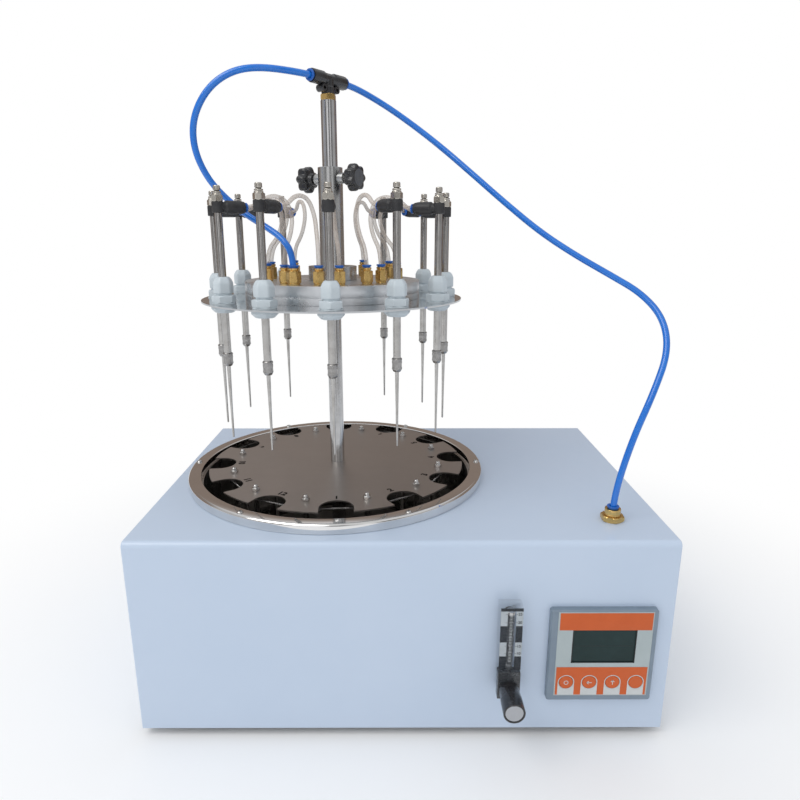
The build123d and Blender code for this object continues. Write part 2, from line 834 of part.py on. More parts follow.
# Needle assemblies
def needle(k):
    """Needle, chuck and tube, the banjo ring with its arm and collet, and the valve body."""
    chuck_under = top + chuck_rise
    chuck_top = chuck_under + chuck_h
    socket = chuck_top - chuck_grip
    tip = top + needle_tip_rise
    cannula = turned((0, tip), (needle_tip_r, tip), (needle_root_r, chuck_under), (0, chuck_under))
    chuck = turned(
        (0, chuck_under), (chuck_r - chuck_taper, chuck_under), (chuck_r, chuck_under + chuck_taper_h),
        (chuck_r, chuck_top), (needle_tube_r, chuck_top), (needle_tube_r, socket), (0, socket))
    stem = rod(needle_tube_r, socket, banjo_under)
    arm = turned(
        (0, 0), (arm_neck_r, 0), (arm_neck_r, arm_neck_l), (arm_r, arm_neck_l),
        (arm_r, arm_reach - arm_nose), (arm_r - arm_nose_taper, arm_reach), (0, arm_reach))
    arm -= rod(branch_r + hole_gap, arm_reach - hose_grip, arm_reach)
    along = Pos(0, 0, arm_z) * Rot(-90, 0, 0)
    banjo = rod(banjo_r, banjo_under, banjo_top) + along * arm
    banjo -= rod(banjo_post_r, banjo_under, banjo_top)
    ring = along * Pos(0, 0, arm_reach) * collet(branch_r)
    cone = banjo_top + valve_hex_h
    seat = cone + valve_cone_h
    valve = rod(banjo_post_r, banjo_under, banjo_top) + hexagon(valve_hex_af, banjo_top, cone)
    valve += turned((0, cone), (valve_hex_af / 2, cone), (valve_cone_r, seat), (0, seat))
    valve -= rod(screw_r + turn_clearance, seat - screw_l - thrust_gap, seat)
    place = around(needle_circle_r, step_angle * k, needle_set[k])
    return [on_rack(place * piece) for piece in (cannula, chuck, stem, banjo, ring, valve)]


def valve_screw(k):
    """Needle valve's screw with its knurled cap."""
    seat = banjo_top + valve_hex_h + valve_cone_h
    collar = seat + thrust_gap
    neck = collar + screw_collar_h
    cap = neck + screw_neck_h
    crown = cap + screw_cap_h
    screw = turned(
        (0, seat - screw_l), (screw_r, seat - screw_l), (screw_r, collar), (screw_collar_r, collar),
        (screw_collar_r, neck), (screw_neck_r, neck), (screw_neck_r, cap), (screw_cap_r, cap),
        (screw_cap_r, crown - screw_cap_edge), (screw_cap_r - screw_cap_edge, crown), (0, crown))
    return on_rack(around(needle_circle_r, step_angle * k, needle_set[k]) * screw)


# Clamp knobs
def clamp_knob(side):
    """Lobed knob with its cap, hub and clamping stud."""
    outline = Circle(clamp_star_r)
    for k in range(clamp_lobes):
        outline += Rot(0, 0, 360 / clamp_lobes * k) * Pos(clamp_lobe_circle_r, 0) * Circle(clamp_lobe_r)
    front = clamp_star_reach + clamp_star_t
    hub_foot = clamp_star_reach - clamp_hub_h
    stud_end = clamp_star_reach + clamp_star_t / 2
    star = Pos(0, 0, clamp_star_reach) * extrude(outline, clamp_star_t)
    star += rod(clamp_hub_r, hub_foot, clamp_star_reach)
    star -= rod(clamp_cap_r, front - clamp_cap_t, front)
    star -= rod(clamp_stud_r, hub_foot, stud_end)
    stud = rod(clamp_stud_r, column_r + thrust_gap, stud_end)
    cap = rod(clamp_cap_r, front - clamp_cap_t, front)
    return [on_rack(clamp_place(side) * piece) for piece in (star, stud, cap)]


# Hoses: straight runs joined by tangent arcs
def corner_radii(points):
    """Largest arcs that the runs beside each corner allow."""
    radii = []
    for a, b, c in zip(points, points[1:], points[2:]):
        run_in = Vector(*b) - Vector(*a)
        run_out = Vector(*c) - Vector(*b)
        turn = math.radians(run_in.get_angle(run_out))
        radii.append(0.45 * min(run_in.length, run_out.length) / math.tan(turn / 2))
    return radii


def hose(name, points, r):
    """Round hose along a route, with its radii and volume told."""
    radii = corner_radii(points)
    path = FilletPolyline(*points, radius=radii)
    section = Plane(origin=path @ 0, z_dir=path % 0) * Circle(r)
    body = sweep(section, path=path)
    share = body.volume / (math.pi * r * r * path.length)
    listed = ", ".join(f"{value:.0f}" for value in radii)
    print(f"{name}: {path.length:.0f} long, radii {listed}, volume over section x length {share:.4f}")
    return body


def tee_point(side, reach):
    """Point on the axis of the tee's barrel."""
    a = math.radians(tee_angle)
    return (column_x + side * reach * math.cos(a), column_y + side * reach * math.sin(a), tee_z)


def tee_run(side):
    """First run of a hose that leaves the tee: from the bottom of the socket, along its axis."""
    return [tee_point(side, tee_half - hose_grip), tee_point(side, tee_half + collet_h + hose_straight)]


def socket_run(x, y, face):
    """Last run of a hose into a fitting that points up, down to the bottom of its socket."""
    return [(x, y, face + collet_h + hose_straight), (x, y, face - hose_grip)]


def manifold_hose():
    """Hose from the tee, round in a loop and down to the manifold's inlet."""
    a = math.radians(inlet_angle + turn_at_rest)
    x = column_x + inlet_circle_r * math.sin(a)
    y = column_y - inlet_circle_r * math.cos(a)
    points = tee_run(-1) + list(loop_route) + socket_run(x, y, manifold_top + port_face)
    return hose("manifold hose", points, hose_r)


def supply_hose():
    """Hose from the tee down to the outlet in the cabinet's top."""
    outlet = socket_run(outlet_x, front_y + outlet_set_back, top + outlet_face)
    return hose("supply hose", tee_run(1) + list(supply_route) + outlet, hose_r)


# Flowmeter
def meter_port_heights():
    """Heights of the flowmeter's two ports."""
    return (meter_bore_top - meter_port_below, meter_knob_z)


def rotameter_block():
    """Clear block with a tapered bore, held to the panel by its two threaded ports."""
    z_top = top - meter_drop
    body = slab(meter_w, meter_d, z_top - meter_h, z_top)
    body = fillet(body.edges().filter_by(Axis.Z).group_by(Axis.Y)[0], meter_edge_r)
    body -= turned(
        (0, meter_bore_foot), (meter_bore_foot_r, meter_bore_foot),
        (meter_bore_top_r, meter_bore_top), (0, meter_bore_top))
    body -= rod(meter_way_r, meter_knob_z, meter_bore_foot)
    body = Pos(meter_x, meter_axis_y, 0) * body
    nuts = []
    for z in meter_port_heights():
        body += on_front(meter_x, z, rod(meter_port_r, -meter_port_l, 0))
        body -= on_front(meter_x, z, rod(meter_port_way_r, -meter_port_l, meter_d / 2))
        nut = pipe(meter_port_nut_r, meter_port_r, -sheet_t - meter_port_nut_t, -sheet_t)
        nuts.append(on_front(meter_x, z, nut))
    shaft_hole = rod(meter_shaft_r + turn_clearance, meter_d - meter_shaft_l - thrust_gap, meter_d)
    body -= on_front(meter_x, meter_knob_z, shaft_hole)
    return [body] + nuts


def rotameter_float():
    """Float that the gas lifts in the bore."""
    foot = meter_bore_foot + thrust_gap
    body = turned(
        (0, foot), (float_r * 0.3, foot), (float_r, foot + float_cone_h),
        (float_r, foot + float_h), (0, foot + float_h))
    return Pos(meter_x, meter_axis_y, 0) * body


def rotameter_knob():
    """Flow knob with a dished front, on the valve's shaft."""
    back = meter_d + thrust_gap
    front = meter_knob_front
    rim = meter_knob_r - meter_knob_rim
    knob = turned(
        (0, back), (meter_knob_r - meter_knob_edge, back), (meter_knob_r, back + meter_knob_edge),
        (meter_knob_r, front - meter_knob_edge), (meter_knob_r - meter_knob_edge, front),
        (rim, front), (rim, front - meter_knob_dish), (0, front - meter_knob_dish))
    knob += rod(meter_shaft_r, meter_d - meter_shaft_l, back)
    return on_front(meter_x, meter_knob_z, knob)


# Temperature controller
def on_face(piece):
    """Set a piece on the controller's face: +Z points out, from the middle of the face."""
    return on_front(control_x + face_side, top - control_drop + face_up, Pos(0, 0, control_proud) * piece)


def key_spots():
    """Places of the keys in a row across the lower part of the face."""
    middle = (key_count - 1) / 2
    return [Pos((k - middle) * key_pitch, -key_below, 0) for k in range(key_count)]


def controller_case():
    """Moulded case: the frame in front of the panel and the body behind it."""
    frame = slab(control_w, control_h, 0, control_proud)
    frame = fillet(frame.edges().filter_by(Axis.Z), control_corner_r)
    frame = chamfer(frame.faces().sort_by(Axis.Z)[-1].edges(), control_edge)
    frame += slab(control_case_w, control_case_h, -control_case_l, 0)
    case = on_front(control_x, top - control_drop, frame)
    case -= on_face(slab(face_w + 2 * hole_gap, face_h + 2 * hole_gap, -face_t, 0))
    pocket = -face_t - key_gap - key_travel - thrust_gap
    well = rod(key_r + key_gap, pocket, -face_t)
    well += rod(key_stem_r + turn_clearance, pocket - key_stem_l, pocket)
    for spot in key_spots():
        case -= on_face(spot * well)
    return case


def controller_face():
    """Printed face plate, cut out for the display and the keys."""
    plate = slab(face_w, face_h, -face_t, 0)
    plate -= Pos(0, window_up, 0) * Box(window_w + 2 * hole_gap, window_h + 2 * hole_gap, 4 * face_t)
    for spot in key_spots():
        plate -= spot * Cylinder(key_r + key_gap, 4 * face_t)
    return on_face(plate)


def display_window():
    """Display behind its window, seated in the face plate's opening."""
    return on_face(Pos(0, window_up, 0) * slab(window_w, window_h, -face_t, window_t - face_t))


def key(k):
    """Round key on its plunger."""
    back = -face_t - key_gap
    cap = rod(key_r, back, key_proud)
    cap = chamfer(cap.edges().group_by(Axis.Z)[-1], key_edge)
    cap += rod(key_stem_r, back - key_stem_l, back)
    return on_face(key_spots()[k] * cap)


# Gas fittings in the cabinet
def bulkhead(neck_h):
    """Push-in bulkhead fitting on z = 0: body, inner nut and collet."""
    face = outlet_hex_h + neck_h
    body = hexagon(outlet_hex_af, 0, outlet_hex_h) + rod(outlet_neck_r, outlet_hex_h, face)
    body += rod(outlet_thread_r, -outlet_thread_l, 0)
    body -= rod(hose_r + hole_gap, face - hose_grip, face)
    body -= rod(port_bore_r, -outlet_thread_l, face)
    nut = hexagon(outlet_hex_af, -sheet_t - outlet_nut_h, -sheet_t)
    nut -= rod(outlet_thread_r, -sheet_t - outlet_nut_h, -sheet_t)
    return [body, nut, Pos(0, 0, face) * collet(hose_r)]


def bulkhead_fittings():
    """Outlet in the cabinet's top and inlet in its rear wall."""
    outlet = [Pos(outlet_x, front_y + outlet_set_back, top) * piece for piece in bulkhead(outlet_neck_h)]
    rear_neck_h = rear_reach - outlet_hex_h - collet_h
    return outlet + [on_back(rear_inlet_x, rear_inlet_z, piece) for piece in bulkhead(rear_neck_h)]


# Mains inlet and switch
def power_inlet():
    """Moulded inlet with its socket and pins, and the well for the switch."""
    body = slab(mains_w, mains_h, 0, mains_t)
    body = fillet(body.edges().filter_by(Axis.Z), mains_corner_r)
    body += slab(mains_body_w, mains_body_h, -mains_body_l, 0)
    socket_floor = mains_t - socket_depth
    body -= Pos(0, -socket_below, 0) * slab(socket_w, socket_h, socket_floor, mains_t)
    for k in (-1, 0, 1):
        y = socket_earth_up * (1 - abs(k)) - socket_below
        pin = slab(socket_pin_w, socket_pin_h, socket_floor, socket_floor + socket_pin_l)
        body += Pos(k * socket_pin_pitch, y, 0) * pin
    well = slab(switch_w + 2 * switch_gap, switch_h + 2 * switch_gap, mains_t - switch_well, mains_t)
    body -= Pos(0, switch_above, 0) * well
    axle = Pos(0, switch_above, mains_t - rocker_sink) * Rot(0, 90, 0)
    body += axle * Cylinder(rocker_pin_r, switch_w + 2 * switch_gap)
    return on_back(mains_x, mains_z, body)


def power_switch():
    """Rocker on its pin."""
    rocker = slab(switch_w, switch_h, -rocker_t / 2, rocker_t / 2)
    rocker -= Rot(0, 90, 0) * Cylinder(rocker_pin_r + turn_clearance, switch_w)
    return on_back(mains_x, mains_z, Pos(0, switch_above, mains_t - rocker_sink) * rocker)


os.makedirs("parts", exist_ok=True)

save("housing_shell", housing_shell())
save("base_plate", base_plate())
save("rubber_feet", *rubber_feet())
save("bath_bowl", bath_bowl())
save("bath_ring", bath_ring())
save("ring_screws", *ring_screws())
save("heater_and_probe", *heater_and_probe())
save("controller_case", controller_case())
save("controller_face", controller_face())
save("display_window", display_window())
save("rotameter_block", *rotameter_block())
save("rotameter_float", rotameter_float())
save("rotameter_knob", rotameter_knob())
save("bulkhead_fittings", *bulkhead_fittings())
save("power_inlet", power_inlet())
save("power_switch", power_switch())
for number in range(key_count):
    save(f"key_{number + 1}", key(number))

save("rack_top_plate", rack_top_plate())
save("rack_lower_plate", rack_lower_plate())
save("rack_posts", *rack_posts())
save("tube_spring", tube_spring())
save("column", column())
save("tee_fitting", *tee_fitting())

save("lift_sleeve", *lift_sleeve())
save("gland_plate", gland_plate())
save("manifold_block", *manifold_block())
save("manifold_fittings", *manifold_fittings())
save("cable_glands", *cable_glands())
save("branch_tubes", *[branch_tube(number) for number in range(places)])
save("clamp_knob_right", *clamp_knob(1))
save("clamp_knob_left", *clamp_knob(-1))

for number in range(places):
    save(f"needle_{number + 1:02d}", *needle(number))
    save(f"valve_screw_{number + 1:02d}", valve_screw(number))

save("manifold_hose", manifold_hose())
save("supply_hose", supply_hose())
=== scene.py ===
import bmesh
import bpy
import math
from mathutils import Matrix, Vector


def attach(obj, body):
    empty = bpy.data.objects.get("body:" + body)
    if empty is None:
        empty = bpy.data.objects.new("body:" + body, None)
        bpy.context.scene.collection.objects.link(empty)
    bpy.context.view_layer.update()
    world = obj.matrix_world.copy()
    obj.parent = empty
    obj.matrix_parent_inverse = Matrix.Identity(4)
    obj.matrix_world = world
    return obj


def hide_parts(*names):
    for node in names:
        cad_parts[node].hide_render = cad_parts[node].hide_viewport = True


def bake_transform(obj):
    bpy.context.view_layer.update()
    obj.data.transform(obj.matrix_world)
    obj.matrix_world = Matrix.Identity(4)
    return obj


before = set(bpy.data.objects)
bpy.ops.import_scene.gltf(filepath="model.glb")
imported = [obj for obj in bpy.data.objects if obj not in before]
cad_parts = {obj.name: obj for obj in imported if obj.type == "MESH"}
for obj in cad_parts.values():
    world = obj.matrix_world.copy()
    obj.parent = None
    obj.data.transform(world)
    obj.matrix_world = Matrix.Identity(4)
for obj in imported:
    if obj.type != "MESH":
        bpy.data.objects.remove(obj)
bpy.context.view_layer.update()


def added(name, data):
    """A new object of some data, in the scene."""
    thing = bpy.data.objects.new(name, data)
    bpy.context.scene.collection.objects.link(thing)
    return thing


# Camera. It stands a little over half a metre in front of the cabinet, at the height of the
# manifold, and looks down over the bath.
lens = bpy.data.cameras.new("camera")
lens.lens = 28.53
lens.sensor_width = 36.0
camera = added("camera", lens)
camera.location = (-0.003, -0.6472, 0.4505)
camera.rotation_euler = (math.radians(90 - 14.72), 0, math.radians(-0.166))
bpy.context.scene.camera = camera
bpy.context.scene.view_settings.view_transform = "Standard"

# Blue polyurethane hoses, 6 mm outside. One feeds the tee from the outlet in the cabinet's top,
# the other loops from the tee down to the manifold. Both are pushed into release collets.
mm = 0.001
hose_r = 3.0
hose_points = {
    "supply_hose": (
        (-60.07, 28.68, 592.5), (-48.94, 43.45, 592.5), (-20.0, 59.5, 580.0), (9.4, 61.5, 561.5),
        (40.3, 52.5, 537.8), (70.4, 37.5, 511.2), (104.5, 19.5, 480.2), (137.4, 1.5, 451.9),
        (168.7, -16.5, 430.3), (199.4, -31.5, 412.2), (226.0, -45.5, 396.0), (241.5, -63.5, 375.0),
        (240.5, -84.5, 348.0), (225.0, -99.5, 313.5), (206.5, -107.5, 271.0),
        (193.5, -111.5, 220.0), (193.5, -111.5, 201.5)),
    "manifold_hose": (
        (-79.93, 2.32, 592.5), (-91.06, -12.45, 592.5), (-127.2, -27.5, 594.0),
        (-152.5, -31.0, 589.0), (-174.0, -31.5, 574.0), (-188.5, -29.5, 550.0),
        (-189.7, -27.5, 524.0), (-180.0, -23.0, 499.0), (-164.0, -19.5, 481.0),
        (-145.5, -20.5, 466.5), (-126.0, -30.5, 456.0), (-110.0, -41.5, 446.0),
        (-100.02, -47.73, 432.0), (-100.02, -47.73, 413.5)),
}


def routed(name, points, r):
    """A round tube along a smooth line through its route, and the points of that line in metres."""
    curve = bpy.data.curves.new(name, "CURVE")
    curve.dimensions = "3D"
    curve.resolution_u = 12
    spline = curve.splines.new("NURBS")
    spline.points.add(len(points) - 1)
    for point, place in zip(spline.points, points):
        point.co = (*(c * mm for c in place), 1)
    spline.order_u = 3
    spline.use_endpoint_u = True
    line = bpy.data.objects.new(name + "_line", curve)
    centre = [v.co.copy() for v in bpy.data.meshes.new_from_object(line).vertices]
    curve.bevel_depth = r * mm
    curve.bevel_resolution = 6
    curve.use_fill_caps = True
    mesh = bpy.data.meshes.new_from_object(line)
    bpy.data.objects.remove(line)
    mesh.shade_smooth()
    return added(name, mesh), centre


def node_in(tree, kind, inputs=None, **settings):
    """A shader node with its settings; each input gets a value, or a link from another socket."""
    node = tree.nodes.new("ShaderNode" + kind)
    for setting, value in settings.items():
        setattr(node, setting, value)
    for socket, value in (inputs or {}).items():
        if isinstance(value, bpy.types.NodeSocket):
            tree.links.new(value, node.inputs[socket])
        else:
            node.inputs[socket].default_value = value
    return node


def finish_of(name, color, roughness, metallic=0.0, **sockets):
    """A new material with one Principled shader; an underscore in a socket's name is a space."""
    material = bpy.data.materials.new(name)
    material.use_nodes = True
    inputs = material.node_tree.nodes["Principled BSDF"].inputs
    inputs["Base Color"].default_value = (*color, 1)
    inputs["Roughness"].default_value = roughness
    inputs["Metallic"].default_value = metallic
    for socket, value in sockets.items():
        inputs[socket.replace("_", " ")].default_value = value
    return material


def grouped(name, inputs, outputs):
    """An empty shader node group with its sockets, and the nodes that hold them."""
    group = bpy.data.node_groups.new(name, "ShaderNodeTree")
    for socket, (kind, value) in inputs.items():
        group.interface.new_socket(socket, in_out="INPUT", socket_type=kind).default_value = value
    for socket, kind in outputs.items():
        group.interface.new_socket(socket, in_out="OUTPUT", socket_type=kind)
    return group, group.nodes.new("NodeGroupInput").outputs, group.nodes.new("NodeGroupOutput").inputs


def wear_group():
    """Handling marks: a slow mottle that shifts the colour and the roughness a little."""
    group, given, result = grouped(
        "handling marks",
        {"Color": ("NodeSocketColor", (0.8, 0.8, 0.8, 1)),
         "Mark Color": ("NodeSocketColor", (0.5, 0.5, 0.5, 1)),
         "Amount": ("NodeSocketFloat", 0.2), "Scale": ("NodeSocketFloat", 40.0),
         "Roughness": ("NodeSocketFloat", 0.3), "Roughness Spread": ("NodeSocketFloat", 0.1)},
        {"Color": "NodeSocketColor", "Roughness": "NodeSocketFloat"})
    place = node_in(group, "TexCoord").outputs["Object"]
    cloud = node_in(group, "TexNoise", {"Vector": place, "Scale": given["Scale"], "Detail": 5,
                                        "Roughness": 0.65})
    sharp = node_in(group, "MapRange", {"Value": cloud.outputs["Fac"], "From Min": 0.38, "From Max": 0.68})
    level = sharp.outputs["Result"]
    share = node_in(group, "Math", {0: level, 1: given["Amount"]}, operation="MULTIPLY")
    mix = node_in(group, "Mix", {"Factor": share.outputs[0], "A": given["Color"], "B": given["Mark Color"]},
                  data_type="RGBA")
    spread = node_in(group, "Math", {0: level, 1: given["Roughness Spread"], 2: given["Roughness"]},
                     operation="MULTIPLY_ADD")
    group.links.new(mix.outputs["Result"], result["Color"])
    group.links.new(spread.outputs[0], result["Roughness"])
    return group


handling = wear_group()


def marked(material, mark_color, amount, scale, spread):
    """Put the handling marks on a material, from its own colour and roughness."""
    tree = material.node_tree
    inputs = tree.nodes["Principled BSDF"].inputs
    color, roughness = inputs["Base Color"], inputs["Roughness"]
    values = {"Color": color.default_value, "Mark Color": (*mark_color, 1), "Amount": amount, "Scale": scale,
              "Roughness": roughness.default_value, "Roughness Spread": spread}
    node = node_in(tree, "Group", values, node_tree=handling)
    tree.links.new(node.outputs["Color"], color)
    tree.links.new(node.outputs["Roughness"], roughness)


def grain_group():
    """Fine surface relief from noise that can be drawn out along one axis, as brushing draws it."""
    group, given, result = grouped(
        "fine relief",
        {"Stretch": ("NodeSocketVector", (1, 1, 1)), "Scale": ("NodeSocketFloat", 900.0),
         "Contrast": ("NodeSocketFloat", 1.0)},
        {"Height": "NodeSocketFloat"})
    place = node_in(group, "TexCoord").outputs["Object"]
    drawn = node_in(group, "VectorMath", {0: place, 1: given["Stretch"]}, operation="MULTIPLY")
    speckle = node_in(group, "TexNoise", {"Vector": drawn.outputs[0], "Scale": given["Scale"], "Detail": 3})
    level = node_in(group, "Math", {0: speckle.outputs["Fac"], 1: given["Contrast"]}, operation="MULTIPLY")
    group.links.new(level.outputs[0], result["Height"])
    return group


relief = grain_group()


def grained(material, scale, strength, stretch=(1, 1, 1), distance=0.0002):
    """Put the fine relief on a material as a bump."""
    tree = material.node_tree
    node = node_in(tree, "Group", {"Scale": scale, "Stretch": stretch}, node_tree=relief)
    bump = node_in(tree, "Bump", {"Strength": strength, "Distance": distance,
                                  "Height": node.outputs["Height"]})
    tree.links.new(bump.outputs["Normal"], tree.nodes["Principled BSDF"].inputs["Normal"])


blue_hose = finish_of("blue hose", (0.006, 0.15, 0.6), 0.16, Coat_Weight=0.5, Coat_Roughness=0.06)
marked(blue_hose, (0.01, 0.2, 0.68), 0.5, 60, 0.1)
grained(blue_hose, 500, 0.15)
for name, length, bodies, start, end in (
        ("supply_hose", 0.605, ("cabinet", "rack"), (0.1935, -0.1115, 0.4), (-0.04894, 0.04345, 0.4)),
        ("manifold_hose", 0.317, ("rack", "carrier"), (-0.1, -0.03, 0.585), (-0.1, -0.03, 0.435))):
    hose, line = routed(name + "_tube", hose_points[name], hose_r)
    hose.data.materials.append(blue_hose)
    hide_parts(name)
    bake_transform(hose)

# Floor and light. A pale floor that keeps a soft shadow near the cabinet and runs out into white,
# a large soft lamp, and a sky whose cards give the polished metal something to show.
floor_half, floor_z = 6.0, -0.0005
square = ((-1, -1), (1, -1), (1, 1), (-1, 1))
floor_mesh = bpy.data.meshes.new("floor")
floor_mesh.from_pydata([(x * floor_half, y * floor_half, floor_z) for x, y in square], [], [(0, 1, 2, 3)])
floor = added("floor", floor_mesh)
floor_paint = finish_of("floor paint", (0.93, 0.93, 0.93), 0.6)
floor_mesh.materials.append(floor_paint)


def seen_directly(tree):
    """1 for what the camera sees, also through clear material, and 0 for light and reflections."""
    ray = node_in(tree, "LightPath").outputs
    return node_in(tree, "Math", {0: ray["Is Camera Ray"], 1: ray["Is Transmission Ray"]},
                   operation="MAXIMUM").outputs[0]


tree = floor_paint.node_tree
reach = node_in(tree, "VectorMath", {0: node_in(tree, "TexCoord").outputs["Object"]}, operation="LENGTH")
fade = node_in(tree, "MapRange", {"Value": reach.outputs["Value"], "From Min": 0.28, "From Max": 0.75},
               interpolation_type="SMOOTHSTEP")
share = node_in(tree, "Math", {0: fade.outputs["Result"], 1: seen_directly(tree)}, operation="MULTIPLY")
blend_in = node_in(tree, "MixShader", {"Fac": share.outputs[0], 1: tree.nodes["Principled BSDF"].outputs[0],
                                       2: node_in(tree, "Emission").outputs[0]})
tree.links.new(blend_in.outputs[0], tree.nodes["Material Output"].inputs["Surface"])

lamp_light = bpy.data.lights.new("soft lamp", "AREA")
lamp_light.shape = "RECTANGLE"
lamp_light.size = 1.6
lamp_light.size_y = 1.1
lamp_light.energy = 15
lamp_light.color = (1.0, 0.985, 0.96)
lamp = added("soft lamp", lamp_light)
lamp.location = (-1.0, -0.9, 1.9)
lamp.rotation_euler = (Vector((0, 0, 0.25)) - lamp.location).to_track_quat("-Z", "Y").to_euler()

sky = bpy.data.worlds.new("sky")
bpy.context.scene.world = sky
sky.use_nodes = True
tree = sky.node_tree
split = node_in(tree, "SeparateXYZ", {0: node_in(tree, "TexCoord").outputs["Generated"]})


def sky_range(axis, start, end):
    """How far a direction has turned along one axis, from 0 at start to 1 at end."""
    node = node_in(tree, "MapRange", {"From Min": start, "From Max": end, "Value": split.outputs[axis]},
                   interpolation_type="SMOOTHSTEP")
    return node.outputs["Result"]


def sky_mix(share, first, second):
    """The first colour, giving way to the second by a share."""
    node = node_in(tree, "Mix", {"Factor": share, "A": first, "B": second}, data_type="RGBA")
    return node.outputs["Result"]


cards = node_in(tree, "ValToRGB", {"Fac": sky_range("X", -1, 1)})
cards.color_ramp.interpolation = "EASE"
card_stops = ((0.0, 0.5), (0.12, 0.09), (0.24, 0.85), (0.42, 1.0), (0.5, 0.3), (0.58, 0.06), (0.68, 0.5),
              (0.8, 0.9), (0.9, 0.1), (1.0, 0.5))
for k, (position, level) in enumerate(card_stops):
    stop = cards.color_ramp.elements[k] if k < 2 else cards.color_ramp.elements.new(position)
    stop.position = position
    stop.color = (level, level, level * 1.02, 1)
warm_wall, pale_ceiling, even_light = (0.25, 0.2, 0.17, 1), (0.7, 0.71, 0.72, 1), (0.8, 0.82, 0.85, 1)
wall_share = node_in(tree, "Math", {0: sky_range("Y", 0.0, 0.3), 1: sky_range("Z", 0.62, 0.4)},
                     operation="MULTIPLY")
room = sky_mix(wall_share.outputs[0], cards.outputs["Color"], warm_wall)
room = sky_mix(sky_range("Z", 0.5, 0.75), room, pale_ceiling)
room = sky_mix(node_in(tree, "LightPath").outputs["Is Glossy Ray"], even_light, room)
room = sky_mix(seen_directly(tree), room, (1, 1, 1, 1))
tree.links.new(room, tree.nodes["Background"].inputs["Color"])

# Cabinet. Sheet steel folded into the front, top and back, with the sides welded in, under a
# smooth pale blue-grey powder coat. It stands on rubber feet screwed through a plated floor.
powder_coat = finish_of("powder coat", (0.53, 0.62, 0.75), 0.28, Coat_Weight=0.25, Coat_Roughness=0.15)
marked(powder_coat, (0.5, 0.595, 0.73), 0.6, 9, 0.06)
grained(powder_coat, 1400, 0.06)
zinc_plate = finish_of("zinc plate", (0.55, 0.56, 0.57), 0.38, 0.9)
marked(zinc_plate, (0.4, 0.41, 0.44), 0.7, 60, 0.2)
foot_rubber = finish_of("foot rubber", (0.02, 0.02, 0.021), 0.75)
marked(foot_rubber, (0.05, 0.05, 0.05), 0.5, 150, 0.1)
grained(foot_rubber, 1800, 0.3)


def finished(node, material):
    """Give a carried-over node its material."""
    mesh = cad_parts[node].data
    mesh.materials.clear()
    mesh.materials.append(material)


finished("housing_shell", powder_coat)
finished("base_plate", zinc_plate)
finished("rubber_feet", foot_rubber)

# Bath. A drawn steel bowl with a welded pivot boss, under a turned ring with a chromed mirror
# face. Six round-headed screws clamp the ring; a heating plate and a sensor sit behind the bowl.
column_x = -70.0
column_y = 15.5
rack_turn = 4.6


def polar(r, k, steps, z):
    """Point k of the steps round a circle."""
    a = math.tau * k / steps
    return r * math.cos(a), r * math.sin(a), z


def turned(points, steps=96, closed=False):
    """Surface turned about Z from (radius, height) points."""
    verts, faces, rings = [], [], []
    for r, z in points:
        count = 1 if r < 1e-6 else steps
        rings.append([len(verts) + k for k in range(count)])
        verts += [polar(r, k, steps, z) for k in range(count)]
    for low, high in zip(rings, rings[1:] + (rings[:1] if closed else [])):
        for k in range(steps if len(low) + len(high) > 2 else 0):
            n = (k + 1) % steps
            corners = [low[k % len(low)], low[n % len(low)], high[n % len(high)], high[k % len(high)]]
            faces.append(list(dict.fromkeys(corners)))
    return verts, faces


def softened(points, r, closed=False):
    """The same outline with each corner rounded by about r, where its sides allow it."""
    soft = []
    count = len(points)
    for k, corner in enumerate(points):
        if not closed and k in (0, count - 1):
            soft.append(tuple(corner))
            continue
        here = Vector(corner)
        before, after = Vector(points[k - 1]) - here, Vector(points[(k + 1) % count]) - here
        cut = min(r, 0.45 * before.length, 0.45 * after.length)
        first, last = here + before.normalized() * cut, here + after.normalized() * cut
        for t in (0.0, 0.33, 0.67, 1.0):
            soft.append(tuple(first * (1 - t) ** 2 + here * 2 * t * (1 - t) + last * t * t))
    return soft


def placed(part, *steps):
    """A part moved by one or more 4x4 matrices, the outermost first."""
    matrix = Matrix.Identity(4)
    for step in steps:
        matrix = matrix @ step
    verts, faces = part
    return [tuple(matrix @ Vector(v)) for v in verts], faces


def set_at(parts, *steps):
    """Parts moved as one."""
    return [placed(part, *steps) for part in parts]


def shift(x, y, z):
    return Matrix.Translation((x, y, z))


def spin(axis, degrees):
    return Matrix.Rotation(math.radians(degrees), 4, axis)


def around(r, angle, z=0.0, turn=rack_turn):
    """Place at a radius and an angle from the front, about the column, as the rack rests."""
    return shift(column_x, column_y, 0) @ spin("Z", angle + turn) @ shift(0, -r, z)


def piece(name, parts, body, material, stands_for=(), sharp=32):
    """One object of the parts given in millimetres, smooth up to the sharp angle, riding on its body."""
    mesh = bpy.data.meshes.new(name)
    shape = bmesh.new()
    for verts, faces in parts:
        corners = [shape.verts.new([c * mm for c in v]) for v in verts]
        for face in faces:
            shape.faces.new([corners[k] for k in face])
    bmesh.ops.recalc_face_normals(shape, faces=shape.faces)
    for face in shape.faces:
        face.smooth = True
    for edge in shape.edges:
        edge.smooth = not edge.is_manifold or edge.calc_face_angle() < math.radians(sharp)
    shape.to_mesh(mesh)
    shape.free()
    mesh.materials.append(material)
    made = added(name, mesh)
    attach(made, body)
    if stands_for:
        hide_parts(*stands_for)
    return made


